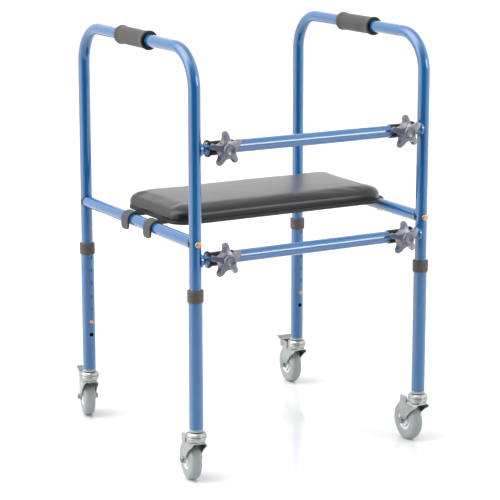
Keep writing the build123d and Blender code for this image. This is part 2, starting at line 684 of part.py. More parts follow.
def caster_axle():
    """Axle bolt and its nut."""
    head_start = -FORK_OUTER - SEAT_FIT
    nut_start = FORK_OUTER + SEAT_FIT
    tip = nut_start + NUT_HEIGHT + 1.0
    head = hexagon_prism(NUT_ACROSS_FLATS, (head_start, TRAIL, WHEEL_RADIUS), NUT_HEIGHT, (-1, 0, 0))
    bolt = head + rod(AXLE_RADIUS, (head_start, TRAIL, WHEEL_RADIUS), (tip, TRAIL, WHEEL_RADIUS))
    nut = hexagon_prism(NUT_ACROSS_FLATS, (nut_start, TRAIL, WHEEL_RADIUS), NUT_HEIGHT, (1, 0, 0))
    nut -= rod(AXLE_RADIUS + SEAT_FIT, (0, TRAIL, WHEEL_RADIUS), (tip + 1, TRAIL, WHEEL_RADIUS))
    return [bolt, nut]


def brake_pedal():
    """Bent sheet pedal: foot plate, two flanges with pivot pins between the fork's ears, and brake shoe."""
    outer = FORK_INNER - PEDAL_GAP
    under = PEDAL_TOP - PEDAL_SHEET
    top_run = make_face(
        Polyline(
            (PEDAL_FRONT, under),
            (PEDAL_REACH - 8, under),
            (PEDAL_REACH, under + PEDAL_TIP_RISE),
            (PEDAL_REACH, PEDAL_TOP + PEDAL_TIP_RISE),
            (PEDAL_REACH - 9, PEDAL_TOP),
            (PEDAL_FRONT, PEDAL_TOP),
            close=True,
        )
    )
    body = plate(top_run, PEDAL_WIDTH, -PEDAL_WIDTH / 2)
    flange = make_face(
        Polyline(
            (PEDAL_PIVOT_Y, PEDAL_PIVOT_Z - PEDAL_FLANGE_RADIUS),
            (PEDAL_FLANGE_FRONT, PEDAL_FLANGE_LOW),
            (PEDAL_FLANGE_BACK, PEDAL_FLANGE_LOW),
            (PEDAL_FLANGE_BACK, under + 0.5),
            (PEDAL_FRONT, under + 0.5),
            (PEDAL_PIVOT_Y, PEDAL_PIVOT_Z + PEDAL_FLANGE_RADIUS),
            close=True,
        )
    )
    flange += Pos(PEDAL_PIVOT_Y, PEDAL_PIVOT_Z) * Circle(PEDAL_FLANGE_RADIUS)
    for side in SIDES.values():
        body += plate(flange, PEDAL_SHEET, outer - PEDAL_SHEET if side > 0 else -outer)
        start = (side * (outer - PEDAL_SHEET), PEDAL_PIVOT_Y, PEDAL_PIVOT_Z)
        end = (side * (FORK_OUTER + PEDAL_PIN_END), PEDAL_PIVOT_Y, PEDAL_PIVOT_Z)
        body += rod(PEDAL_PIN_RADIUS, start, end)
    shoe_length = SHOE_BACK - SHOE_FRONT
    shoe = Pos(0, SHOE_FRONT, WHEEL_RADIUS) * Box(
        SHOE_WIDTH, shoe_length, under - WHEEL_RADIUS + 0.5, align=(Align.CENTER, Align.MIN, Align.MIN)
    )
    shoe -= wheel_plane() * Cylinder(WHEEL_RADIUS + SHOE_GAP, SHOE_WIDTH * 2)
    return body + shoe


# ---- Seat ------------------------------------------------------------------------


def seat_board():
    """Thin base board under the cushion."""
    outline = RectangleRounded(
        SEAT_LENGTH - 2 * BOARD_INSET, SEAT_DEPTH - 2 * BOARD_INSET, SEAT_CORNER - BOARD_INSET
    )
    board = Pos(0, MIDDLE_Y + SEAT_OFFSET_Y, BOARD_BOTTOM) * extrude(outline, BOARD_THICKNESS)
    for x, y in screw_points():
        board -= rod(SCREW_RADIUS + SEAT_FIT, (x, y, BOARD_BOTTOM), (x, y, BOARD_BOTTOM + SCREW_DEPTH))
    return board


def seat_cushion():
    """Padded vinyl top, its simple outer shape, with a skirt round the board's upper edge."""
    outline = RectangleRounded(SEAT_LENGTH, SEAT_DEPTH, SEAT_CORNER)
    pad = extrude(outline, CUSHION_THICKNESS + CUSHION_SKIRT)
    pad = fillet(pad.edges().group_by(Axis.Z)[-1], CUSHION_EDGE)
    inset = BOARD_INSET - CUSHION_GAP
    pocket = RectangleRounded(SEAT_LENGTH - 2 * inset, SEAT_DEPTH - 2 * inset, SEAT_CORNER - inset)
    pad -= extrude(pocket, CUSHION_SKIRT)
    return Pos(0, MIDDLE_Y + SEAT_OFFSET_Y, BOARD_TOP + SEAT_FIT - CUSHION_SKIRT) * pad


def hook_rows():
    """Y places of the two hooks on each side."""
    middle = MIDDLE_Y + SEAT_OFFSET_Y
    return (middle - HOOK_SPACING / 2, middle + HOOK_SPACING / 2)


def screw_points():
    """(x, y) of every hook screw."""
    return [(side * x, y) for side in SIDES.values() for y in hook_rows() for x in SCREW_PLACES]


def hook_outline():
    """Right-hand hook's outline in (X, Z): plate, arch over the side tube and drop."""
    inner = TUBE_RADIUS + HOOK_GAP
    outer = inner + HOOK_THICKNESS
    plate_top = BOARD_BOTTOM - SEAT_FIT
    plate_bottom = plate_top - HOOK_THICKNESS
    centre = Pos(LEG_X, SIDE_TUBE_HEIGHT)
    arch = Circle(outer) - Circle(inner)
    below_plate = Pos(-outer, plate_bottom - SIDE_TUBE_HEIGHT)
    cut = below_plate * Rectangle(outer, 2 * outer, align=(Align.MIN, Align.MAX))
    arch -= cut
    arch -= Rectangle(2 * outer, outer, align=(Align.MIN, Align.MAX))
    arch = centre * arch
    drop = centre * Pos(inner, 0) * Rectangle(HOOK_THICKNESS, HOOK_DROP, align=(Align.MIN, Align.MAX))
    chord = math.sqrt(inner**2 - (plate_bottom - SIDE_TUBE_HEIGHT) ** 2)
    plate_length = LEG_X - chord - HOOK_PLATE_START
    flat = Pos(HOOK_PLATE_START, plate_bottom) * Rectangle(
        plate_length, HOOK_THICKNESS, align=(Align.MIN, Align.MIN)
    )
    return arch + drop + flat


def seat_hook(side, y):
    """Hook that hangs one corner of the seat on a side tube."""
    front = Plane(origin=(0, y + HOOK_WIDTH / 2, 0), x_dir=(1, 0, 0), z_dir=(0, -1, 0))
    body = extrude(front * hook_outline(), HOOK_WIDTH)
    body = fillet(body.edges().filter_by(Axis.X).group_by(Axis.Z)[0], HOOK_CORNER)
    if side < 0:
        body = mirror(body, Plane.YZ)
    for x, screw_y in screw_points():
        if x * side > 0 and screw_y == y:
            bottom = BOARD_BOTTOM - 2 * HOOK_THICKNESS
            body -= rod(SCREW_RADIUS + SEAT_FIT, (x, y, bottom), (x, y, BOARD_BOTTOM))
    return body


def hook_screw(x, y):
    """Pan-head screw from below, through a hook into the board."""
    head_top = BOARD_BOTTOM - HOOK_THICKNESS - 2 * SEAT_FIT
    head = Plane(origin=(x, y, head_top), z_dir=(0, 0, -1)) * domed_head(SCREW_HEAD_RADIUS, SCREW_HEAD_HEIGHT)
    return head + rod(SCREW_RADIUS, (x, y, head_top), (x, y, BOARD_BOTTOM + SCREW_DEPTH - SEAT_FIT))


# ---- Assembly --------------------------------------------------------------------


def main():
    """Build every sub-part in place and write one file for each."""
    for name, side in SIDES.items():
        save(f"{name}_frame_tube", frame_tube(side))
        save(f"{name}_grip", grip(side))
        save(f"{name}_side_tube", side_tube(side))

    ends = [(side * LEG_X, row) for side in SIDES.values() for row in ROWS.values()]
    save("side_tube_plugs", Compound([end_plug(x, row) for x, row in ends]))
    bolts = [piece for x, row in ends for piece in end_bolt(x, row)]
    save("side_tube_bolts", Compound(bolts))

    corners = [(side, height) for side in SIDES.values() for height in BAR_HEIGHTS.values()]
    save("crossbar_sockets", Compound([bar_socket(side, height) for side, height in corners]))
    save("crossbar_rings", Compound([bar_ring(side, height) for side, height in corners]))
    save("crossbar_sleeves", Compound([bar_sleeve(side, height) for side, height in corners]))
    save("clamp_nuts", Compound([clamp_nut(side, height) for side, height in corners]))
    knob = star_knob()
    stud = knob_stud()
    for level, height in BAR_HEIGHTS.items():
        save(f"{level}_crossbar", crossbar(height))
        for name, side in SIDES.items():
            place = knob_plane(side, height)
            save(f"{level}_{name}_knob", place * knob)
            save(f"{level}_{name}_knob_stud", place * stud)

    stem = caster_stem()
    tyre = caster_tyre()
    hub = caster_hub()
    axle = caster_axle()
    pedal = brake_pedal()
    for row_name, row in ROWS.items():
        fork = caster_fork(braked=row > 0)
        for side_name, side in SIDES.items():
            leg = f"{row_name}_{side_name}"
            x = side * LEG_X
            y = MIDDLE_Y + row * LEG_DEPTH / 2
            save(f"{leg}_lower_leg", lower_leg(x, y, row))
            save(f"{leg}_collar", leg_collar(x, y))
            save(f"{leg}_snap_button", snap_button(x, y, row))
            save(f"{leg}_caster_stem", Pos(x, y, 0) * stem)
            turned_place = Pos(x, y, 0) * Rot(0, 0, -CASTER_REST[leg])
            save(f"{leg}_fork", turned_place * fork)
            save(f"{leg}_tyre", turned_place * tyre)
            save(f"{leg}_hub", turned_place * hub)
            save(f"{leg}_axle", Compound([turned_place * piece for piece in axle]))
            if row > 0:
                save(f"{leg}_brake_pedal", turned_place * pedal)

    save("seat_board", seat_board())
    save("seat_cushion", seat_cushion())
    hooks = [seat_hook(side, y) for side in SIDES.values() for y in hook_rows()]
    save("seat_hooks", Compound(hooks))
    save("seat_hook_screws", Compound([hook_screw(x, y) for x, y in screw_points()]))


main()
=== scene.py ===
"""Looks of a walking frame: enamelled tubes, foam grips, star knobs, casters and a hook-on vinyl seat."""

import json
import logging
import math
from dataclasses import dataclass, field
from enum import Enum
from typing import Callable, Iterable, Optional, Sequence, Union

import bmesh
import bpy
from mathutils import Matrix, Vector


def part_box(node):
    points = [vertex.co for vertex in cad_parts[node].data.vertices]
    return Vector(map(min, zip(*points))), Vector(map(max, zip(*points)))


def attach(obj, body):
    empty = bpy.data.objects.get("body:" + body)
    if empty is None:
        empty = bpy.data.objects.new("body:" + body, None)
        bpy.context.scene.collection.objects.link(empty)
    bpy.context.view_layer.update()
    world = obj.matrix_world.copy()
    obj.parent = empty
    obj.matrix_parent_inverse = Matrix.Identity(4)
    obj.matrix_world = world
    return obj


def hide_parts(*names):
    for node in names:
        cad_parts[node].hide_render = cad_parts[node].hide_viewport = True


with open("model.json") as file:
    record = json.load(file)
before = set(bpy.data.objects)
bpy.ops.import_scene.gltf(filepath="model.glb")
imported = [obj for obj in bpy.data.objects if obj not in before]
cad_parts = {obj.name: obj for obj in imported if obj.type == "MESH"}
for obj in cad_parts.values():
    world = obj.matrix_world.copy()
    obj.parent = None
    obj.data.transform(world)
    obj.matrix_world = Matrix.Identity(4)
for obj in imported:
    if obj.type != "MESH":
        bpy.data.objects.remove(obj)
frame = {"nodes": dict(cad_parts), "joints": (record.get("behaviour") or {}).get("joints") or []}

log = logging.getLogger("walking_frame")

MM = 0.001
DOUBLES = 0.000002
FLAT_ANGLE = math.radians(0.4)
Point = tuple[float, float]
Colour = tuple[float, float, float]


class Choice(Enum):
    """One of two places along an axis, whose value is its direction."""

    @property
    def word(self) -> str:
        """Name of this choice in node names."""
        return self.name.lower()


class Side(Choice):
    """Left or right half of the frame, along X."""

    LEFT = -1
    RIGHT = 1


class Row(Choice):
    """Front or rear pair of legs, along Y."""

    FRONT = -1
    REAR = 1


class Level(Choice):
    """Upper or lower crossbar, along Z."""

    UPPER = 1
    LOWER = -1


# ---- Shader arithmetic ----


class Shade:
    """A value socket that takes part in Python arithmetic by adding Math nodes."""

    def __init__(self, palette: "Palette", socket: bpy.types.NodeSocket) -> None:
        """Wrap one output socket."""
        self.palette = palette
        self.socket = socket

    def _math(self, operation: str, first: "Value", second: "Value") -> "Shade":
        """Add one Math node.

        Args:
            operation: The node's operation.
            first: Left operand.
            second: Right operand.

        Returns:
            The node's result.
        """
        node = self.palette.node("ShaderNodeMath", {"operation": operation}, {0: first, 1: second})
        return Shade(self.palette, node.outputs[0])

    def __add__(self, other: "Value") -> "Shade":
        """Sum."""
        return self._math("ADD", self, other)

    __radd__ = __add__

    def __mul__(self, other: "Value") -> "Shade":
        """Product."""
        return self._math("MULTIPLY", self, other)

    __rmul__ = __mul__

    def __sub__(self, other: "Value") -> "Shade":
        """Difference."""
        return self._math("SUBTRACT", self, other)

    def __rsub__(self, other: "Value") -> "Shade":
        """Difference with this value on the right."""
        return self._math("SUBTRACT", other, self)

    def between(self, low: float, high: float) -> "Shade":
        """Rise smoothly from 0 at one value to 1 at another.

        Args:
            low: Value that gives 0.
            high: Value that gives 1.

        Returns:
            The eased value.
        """
        settings = {"interpolation_type": "SMOOTHSTEP"}
        sockets = {"Value": self, "From Min": low, "From Max": high}
        return Shade(self.palette, self.palette.node("ShaderNodeMapRange", settings, sockets).outputs[0])


Value = Union[Shade, float]
Link = Union[Shade, bpy.types.NodeSocket, float, Sequence[float]]


class Palette:
    """One material's node tree and the nodes that finishes are mixed from."""

    def __init__(self, tree: bpy.types.NodeTree) -> None:
        """Start from an empty tree."""
        self.tree = tree
        tree.nodes.clear()

    def node(self, kind: str, settings: dict, sockets: dict) -> bpy.types.Node:
        """Add a node, set it up and connect it.

        Args:
            kind: Node type.
            settings: Node properties.
            sockets: Input name or number to a value, socket or Shade.

        Returns:
            The new node.
        """
        node = self.tree.nodes.new(kind)
        for name, setting in settings.items():
            setattr(node, name, setting)
        for name, value in sockets.items():
            socket = node.inputs[name]
            source = value.socket if isinstance(value, Shade) else value
            if isinstance(source, bpy.types.NodeSocket):
                self.tree.links.new(source, socket)
            elif isinstance(source, (tuple, list)) and len(source) == 3 and len(socket.default_value) == 4:
                socket.default_value = (*source, 1.0)
            else:
                socket.default_value = source
        return node

    def place(self, scale: Sequence[float] = (1.0, 1.0, 1.0)) -> bpy.types.NodeSocket:
        """Object coordinates, stretched by a scale."""
        place = self.node("ShaderNodeTexCoord", {}, {}).outputs["Object"]
        return self.node("ShaderNodeMapping", {}, {"Vector": place, "Scale": scale}).outputs[0]

    def noise(self, scale: float, detail: float = 2.0, stretch: Sequence[float] = (1.0, 1.0, 1.0)) -> Shade:
        """Cloudy noise.

        Args:
            scale: Clouds per metre.
            detail: Octaves.
            stretch: Scale along each axis.

        Returns:
            Value from 0 to 1.
        """
        sockets = {"Vector": self.place(stretch), "Scale": scale, "Detail": detail}
        return Shade(self, self.node("ShaderNodeTexNoise", {}, sockets).outputs[0])

    def cells(self, scale: float, feature: str = "F1", stretch: Sequence[float] = (1.0, 1.0, 1.0)) -> Shade:
        """Distance in a field of cells.

        Args:
            scale: Cells per metre.
            feature: Voronoi feature.
            stretch: Scale along each axis.

        Returns:
            The distance.
        """
        sockets = {"Vector": self.place(stretch), "Scale": scale}
        cells = self.node("ShaderNodeTexVoronoi", {"feature": feature}, sockets)
        return Shade(self, cells.outputs["Distance"])

    def mix(self, share: Value, first: Link, second: Link) -> bpy.types.NodeSocket:
        """Blend two colours by a share."""
        sockets = {0: share, 6: first, 7: second}
        return self.node("ShaderNodeMix", {"data_type": "RGBA"}, sockets).outputs[2]

    def bump(self, height: Shade, depth: float,
             under: Optional[bpy.types.NodeSocket] = None) -> bpy.types.NodeSocket:
        """Surface relief.

        Args:
            height: Relief from 0 to 1.
            depth: Its depth in metres.
            under: Relief that this one lies on.

        Returns:
            The normal.
        """
        sockets = {"Height": height, "Distance": depth, "Strength": 1.0}
        if under is not None:
            sockets["Normal"] = under
        return self.node("ShaderNodeBump", {}, sockets).outputs[0]

    def surface(self, sockets: dict) -> None:
        """Finish the material with a Principled shader."""
        shader = self.node("ShaderNodeBsdfPrincipled", {}, sockets)
        self.node("ShaderNodeOutputMaterial", {}, {"Surface": shader.outputs[0]})


# ---- Finishes ----


@dataclass(frozen=True)
class Finish:
    """A surface finish, by its name and the record's material slot."""

    name: str
    slot: str

    def mix(self, palette: Palette) -> None:
        """Lay the finish's nodes into a palette."""
        raise NotImplementedError

    def material(self) -> bpy.types.Material:
        """The finish's material, made once.

        Returns:
            The material.
        """
        label = f"{self.name}_finish"
        found = bpy.data.materials.get(label)
        if found is None:
            found = bpy.data.materials.new(label)
            found.use_nodes = True
            self.mix(Palette(found.node_tree))
        return found


@dataclass(frozen=True)
class Enamel(Finish):
    """Glossy enamel on tube, with a faint orange peel and soft shifts of tone."""

    deep: Colour = (0.004, 0.090, 0.250)
    light: Colour = (0.006, 0.108, 0.295)
    roughness: float = 0.12
    peel_depth: float = 0.00003

    def mix(self, palette: Palette) -> None:
        """Mix tone, roughness and peel.

        Args:
            palette: Where the nodes go.
        """
        tone = palette.noise(7.0, 3.0)
        peel = palette.noise(420.0, 1.0)
        dust = palette.noise(2300.0, 2.0)
        palette.surface({
            "Base Color": palette.mix(tone, self.deep, self.light),
            "Roughness": self.roughness + 0.07 * tone + 0.05 * dust,
            "Normal": palette.bump(peel + 0.25 * dust, self.peel_depth),
            "Coat Weight": 1.0,
            "Coat Roughness": 0.05,
            "IOR": 1.5,
        })


@dataclass(frozen=True)
class Foam(Finish):
    """Dense grip foam: matt, with fine open cells and rubbed patches."""

    dark: Colour = (0.020, 0.018, 0.017)
    pale: Colour = (0.042, 0.038, 0.036)
    cell_depth: float = 0.00022

    def mix(self, palette: Palette) -> None:
        """Mix cell pattern and rubbed patches.

        Args:
            palette: Where the nodes go.
        """
        cells = palette.cells(1500.0)
        rubbed = palette.noise(45.0, 4.0)
        grit = palette.noise(2600.0, 2.0)
        share = 0.55 * rubbed + 0.5 * cells
        palette.surface({
            "Base Color": palette.mix(share, self.dark, self.pale),
            "Roughness": 0.72 + 0.2 * grit,
            "Normal": palette.bump(cells + 0.5 * grit, self.cell_depth),
            "Sheen Weight": 0.25,
            "Sheen Roughness": 0.5,
        })


@dataclass(frozen=True)
class Moulded(Finish):
    """Moulded plastic or rubber with a fine spark-eroded texture."""

    dark: Colour = (0.02, 0.02, 0.022)
    pale: Colour = (0.03, 0.03, 0.033)
    roughness: float = 0.42
    grain: float = 1700.0
    depth: float = 0.00005
    coat: float = 0.0
    shine: float = 0.5

    def mix(self, palette: Palette) -> None:
        """Mix tone and grain.

        Args:
            palette: Where the nodes go.
        """
        tone = palette.noise(30.0, 3.0)
        grain = palette.noise(self.grain, 3.0)
        palette.surface({
            "Base Color": palette.mix(0.7 * tone + 0.3 * grain, self.dark, self.pale),
            "Roughness": self.roughness + 0.12 * (grain - 0.5) + 0.08 * tone,
            "Normal": palette.bump(grain, self.depth),
            "Specular IOR Level": self.shine,
            "Coat Weight": self.coat,
            "Coat Roughness": 0.2,
        })


@dataclass(frozen=True)
class Metal(Finish):
    """Plated or solid metal with fine brushing, cloudy plating and small pits."""

    bright: Colour = (0.52, 0.53, 0.51)
    dull: Colour = (0.27, 0.28, 0.27)
    roughness: float = 0.2
    brushing: Sequence[float] = (1.0, 1.0, 6.0)
    stroke_depth: float = 0.00002

    def mix(self, palette: Palette) -> None:
        """Mix plating clouds, brushing and pits.

        Args:
            palette: Where the nodes go.
        """
        clouds = palette.noise(120.0, 4.0)
        strokes = palette.noise(700.0, 3.0, self.brushing)
        pits = palette.cells(900.0).between(0.0, 0.12)
        palette.surface({
            "Base Color": palette.mix(clouds * pits, self.dull, self.bright),
            "Metallic": 1.0,
            "Roughness": self.roughness + 0.14 * clouds + 0.08 * strokes,
            "Normal": palette.bump(strokes + 0.4 * pits, self.stroke_depth),
        })


@dataclass(frozen=True)
class Vinyl(Finish):
    """Semi-gloss upholstery vinyl with a pebbled leather grain and soft creases."""

    dark: Colour = (0.004, 0.004, 0.005)
    worn: Colour = (0.009, 0.009, 0.010)
    roughness: float = 0.3
    pebble_depth: float = 0.00004
    crease_depth: float = 0.0006

    def mix(self, palette: Palette) -> None:
        """Mix pebbles, creases and shine.

        Args:
            palette: Where the nodes go.
        """
        pebbles = palette.cells(620.0, "SMOOTH_F1")
        fine = palette.noise(1500.0, 3.0)
        creases = palette.noise(26.0, 5.0, (1.0, 1.6, 1.0))
        shine = palette.noise(9.0, 3.0)
        relief = palette.bump(creases, self.crease_depth)
        palette.surface({
            "Base Color": palette.mix(0.6 * shine + 0.4 * pebbles, self.dark, self.worn),
            "Roughness": self.roughness + 0.06 * shine + 0.06 * pebbles,
            "Normal": palette.bump(pebbles + 0.3 * fine, self.pebble_depth, relief),
            "IOR": 1.35,
            "Coat Weight": 0.9,
            "Coat Roughness": 0.3,
            "Coat IOR": 1.25,
        })


@dataclass(frozen=True)
class Board(Finish):
    """Black lacquered plywood with a little open grain."""

    dark: Colour = (0.010, 0.009, 0.008)
    pale: Colour = (0.024, 0.021, 0.018)
    grain_depth: float = 0.00008

    def mix(self, palette: Palette) -> None:
        """Mix the grain.

        Args:
            palette: Where the nodes go.
        """
        grain = palette.noise(90.0, 5.0, (0.08, 1.0, 1.0))
        pores = palette.noise(900.0, 2.0, (0.06, 1.0, 1.0))
        palette.surface({
            "Base Color": palette.mix(grain, self.dark, self.pale),
            "Roughness": 0.45 + 0.2 * pores,
            "Normal": palette.bump(pores + 0.5 * grain, self.grain_depth),
        })


BLUE = Enamel("blue_enamel", "blue_paint")
LIGHT_BLUE = Enamel("light_blue_enamel", "light_blue_paint",
                    (0.009, 0.096, 0.248), (0.013, 0.113, 0.290), 0.2)
FOAM = Foam("grip_foam", "grip_foam")
BLACK = Moulded("black_plastic", "black_plastic",
                (0.003, 0.003, 0.004), (0.006, 0.006, 0.007), 0.4, shine=0.2)
COLLAR = Moulded("collar_plastic", "collar_plastic", (0.045, 0.034, 0.032), (0.075, 0.058, 0.054), 0.45)
KNOB = Moulded("knob_plastic", "knob_plastic", (0.070, 0.070, 0.104), (0.095, 0.095, 0.138), 0.25, coat=1.0)
BRASS = Metal("brass", "brass", (0.60, 0.34, 0.20), (0.38, 0.20, 0.12), 0.12, brushing=(1.0, 1.0, 1.0))
ZINC = Metal("bright_zinc", "zinc_steel")
DARK_STEEL = Metal("dark_steel", "zinc_steel", (0.36, 0.38, 0.38), (0.22, 0.24, 0.24), 0.3)
TYRE = Moulded("grey_rubber", "grey_tyre", (0.24, 0.265, 0.265), (0.30, 0.325, 0.32), 0.52,
               grain=900.0, depth=0.00008)
HUB = Moulded("pale_hub_plastic", "hub_plastic", (0.62, 0.64, 0.66), (0.72, 0.73, 0.74), 0.36)
WASHER = Moulded("dark_washer", "zinc_steel", (0.24, 0.29, 0.28), (0.34, 0.40, 0.38), 0.35, coat=0.5)
BOARD = Board("black_board", "board_black")
VINYL = Vinyl("black_vinyl", "black_vinyl")
HOOK = Moulded("hook_coating", "hook_black", (0.026, 0.026, 0.028), (0.042, 0.042, 0.045), 0.36, grain=1100.0)


# ---- Shared shaping ----


def arc(centre: Point, radius: float, start: float, end: float, steps: int) -> list[Point]:
    """Points along a circular arc.

    Args:
        centre: Centre of the arc.
        radius: Its radius.
        start: First angle in degrees.
        end: Last angle in degrees.
        steps: Number of chords.

    Returns:
        The points, ends included.
    """
    angles = [math.radians(start + (end - start) * step / steps) for step in range(steps + 1)]
    return [(centre[0] + radius * math.cos(a), centre[1] + radius * math.sin(a)) for a in angles]


def rounded(corners: Sequence[tuple[float, float, float]], steps: int = 5) -> list[Point]:
    """Closed outline whose corners are rounded.

    Args:
        corners: (x, y, radius) of each corner.
        steps: Chords in each rounded corner.

    Returns:
        The outline's points.
    """
    outline = []
    count = len(corners)
    for number, (x, y, radius) in enumerate(corners):
        here = Vector((x, y))
        if radius <= 0:
            outline.append((x, y))
            continue
        before = (Vector(corners[number - 1][:2]) - here).normalized()
        after = (Vector(corners[(number + 1) % count][:2]) - here).normalized()
        half = before.angle(after) / 2
        middle = here + (before + after).normalized() * radius / math.sin(half)
        start = here + before * radius / math.tan(half) - middle
        end = here + after * radius / math.tan(half) - middle
        sweep = start.angle_signed(end)
        for step in range(steps + 1):
            spoke = start.copy()
            spoke.rotate(Matrix.Rotation(-sweep * step / steps, 2))
            outline.append(tuple(middle + spoke))
    return outline


def mesh_of(bm: bmesh.types.BMesh, name: str) -> bpy.types.Mesh:
    """Turn a bmesh into a mesh, and free it.

    Args:
        bm: The bmesh.
        name: The mesh's name.

    Returns:
        The mesh.
    """
    mesh = bpy.data.meshes.new(name)
    bm.to_mesh(mesh)
    bm.free()
    return mesh


def linked(name: str, data: bpy.types.ID) -> bpy.types.Object:
    """New object in the scene that holds some data.

    Args:
        name: Its name.
        data: Its mesh, light or camera.

    Returns:
        The object.
    """
    thing = bpy.data.objects.new(name, data)
    bpy.context.scene.collection.objects.link(thing)
    return thing


def turn(degrees: float, axis: str) -> Matrix:
    """Turn about an axis."""
    return Matrix.Rotation(math.radians(degrees), 4, axis)


def bevelled(bm: bmesh.types.BMesh, geometry: list, offset: float, segments: int,
             affect: str = "EDGES") -> None:
    """Round off edges, or corners, by an offset."""
    bmesh.ops.bevel(bm, geom=geometry, offset=offset, offset_type="OFFSET", segments=segments, profile=0.5,
                    affect=affect, material=-1)


def whole(bm: bmesh.types.BMesh) -> list:
    """Everything in a bmesh, as its operators take it."""
    return bm.verts[:] + bm.edges[:] + bm.faces[:]


@dataclass(frozen=True)
class Edge:
    """Edges of a piece: rounding (millimetres), its segments, and degrees past which an edge is sharp."""

    width: float = 0.0
    segments: int = 2
    sharp: float = 35.0

    def round(self, piece: bpy.types.Object) -> None:
        """Round the piece's sharp edges.

        Args:
            piece: The piece.
        """
        rounding = piece.modifiers.new("edge_rounding", "BEVEL")
        rounding.width = self.width * MM
        rounding.segments = self.segments
        rounding.limit_method = "ANGLE"
        rounding.angle_limit = math.radians(self.sharp)
        rounding.harden_normals = True


class Workpiece:
    """A mesh in the making, in millimetres, with the shaping steps that pieces share."""

    def __init__(self) -> None:
        """Start empty."""
        self.bm = bmesh.new()

    def turned(self, outline: Sequence[Point], closed: bool = True, steps: int = 64) -> "Workpiece":
        """Turn a (radius, height) outline about Z.

        Args:
            outline: The outline's points.
            closed: Whether the outline is a loop, clear of the axis.
            steps: Chords round the axis.

        Returns:
            This workpiece.
        """
        verts = [self.bm.verts.new((radius, 0.0, height)) for radius, height in outline]
        pairs = list(zip(verts, verts[1:]))
        if closed:
            pairs.append((verts[-1], verts[0]))
        edges = [self.bm.edges.new(pair) for pair in pairs]
        bmesh.ops.spin(
            self.bm, geom=verts + edges, cent=(0, 0, 0), axis=(0, 0, 1), dvec=(0, 0, 0),
            angle=2 * math.pi, steps=steps, use_merge=True, use_duplicate=False,
        )
        return self.cleaned()

    def flat(self, outline: Sequence[Point]) -> bmesh.types.BMFace:
        """Flat face in the plane Z 0."""
        return self.bm.faces.new([self.bm.verts.new((x, y, 0.0)) for x, y in outline])

    def prism(self, outline: Sequence[Point], low: float, high: float) -> "Workpiece":
        """Straight prism of an outline between two heights.

        Args:
            outline: The outline's points.
            low: Lower height.
            high: Upper height.

        Returns:
            This workpiece.
        """
        face = self.flat(outline)
        bmesh.ops.translate(self.bm, vec=(0, 0, low), verts=face.verts)
        grown = bmesh.ops.extrude_face_region(self.bm, geom=[face], use_keep_orig=True)["geom"]
        moved = [item for item in grown if isinstance(item, bmesh.types.BMVert)]
        bmesh.ops.translate(self.bm, vec=(0, 0, high - low), verts=moved)
        return self.cleaned()

    def cleaned(self, distance: float = 0.0005) -> "Workpiece":
        """Merge doubles and point every face outwards.

        Args:
            distance: How near doubles are.

        Returns:
            This workpiece.
        """
        bmesh.ops.remove_doubles(self.bm, verts=self.bm.verts, dist=distance)
        bmesh.ops.recalc_face_normals(self.bm, faces=self.bm.faces)
        return self

    def moved(self, matrix: Matrix) -> "Workpiece":
        """Move everything that is in the workpiece so far."""
        bmesh.ops.transform(self.bm, matrix=matrix, verts=self.bm.verts)
        return self

    def joined(self, other: "Workpiece") -> "Workpiece":
        """Take another workpiece into this one.

        Args:
            other: The other workpiece, which is used up.

        Returns:
            This workpiece.
        """
        mesh = mesh_of(other.bm, "joined")
        self.bm.from_mesh(mesh)
        bpy.data.meshes.remove(mesh)
        return self

    def finished(self, name: str, finish: Finish, body: str, stands_for: Iterable[str] = (),
                 place: Matrix = Matrix.Identity(4), edge: Edge = Edge()) -> bpy.types.Object:
        """Turn the workpiece into a piece of the object.

        Args:
            name: The piece's name.
            finish: Its finish.
            body: The body that it rides on.
            stands_for: Construction nodes that it replaces.
            place: Its place, in millimetres.
            edge: How its edges are finished.

        Returns:
            The piece.
        """
        self.moved(Matrix.Scale(MM, 4) @ place)
        return dressed(name, mesh_of(self.bm, name), finish, body, stands_for, edge)


def dressed(name: str, mesh: bpy.types.Mesh, finish: Finish, body: str, stands_for: Iterable[str] = (),
            edge: Edge = Edge()) -> bpy.types.Object:
    """Args:
        name: The piece's name.
        mesh: Its mesh, in place and in metres.
        finish: Its finish.
        body: The body that it rides on.
        stands_for: Construction nodes that it replaces.
        edge: How its edges are finished.

    Returns:
        The piece.
    """
    mesh.polygons.foreach_set("use_smooth", [True] * len(mesh.polygons))
    mesh.set_sharp_from_angle(angle=math.radians(edge.sharp))
    piece = linked(name, mesh)
    mesh.materials.clear()
    mesh.materials.append(finish.material())
    if edge.width > 0:
        edge.round(piece)
    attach(piece, body)
    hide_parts(*stands_for)
    log.info("%s: %d faces in %s, on %s", name, len(mesh.polygons), finish.name, body)
    return piece


def paint_node(node: str, finish: Finish) -> None:
    """Give a construction node its finish.

    Args:
        node: The node's name.
        finish: The finish.
    """
    mesh = frame["nodes"][node].data
    mesh.materials.clear()
    mesh.materials.append(finish.material())
    log.info("%s: kept, in %s", node, finish.name)


def rounded_copy(node: str, name: str, finish: Finish, body: str, edge: Edge) -> bpy.types.Object:
    """Merged copy of a construction node, with its edges rounded.

    Args:
        node: The node that the copy replaces.
        name: The piece's name.
        finish: Its finish.
        body: The body that it rides on.
        edge: How its edges are finished.

    Returns:
        The piece.
    """
    work = bmesh.new()
    work.from_mesh(frame["nodes"][node].data)
    bmesh.ops.remove_doubles(work, verts=work.verts, dist=DOUBLES)
    bmesh.ops.dissolve_limit(work, angle_limit=FLAT_ANGLE, verts=work.verts, edges=work.edges)
    return dressed(name, mesh_of(work, name), finish, body, (node,), edge)


def middle_of(node: str) -> Vector:
    """Middle of a construction node's box, in millimetres."""
    low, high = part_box(node)
    return (low + high) / 2 / MM


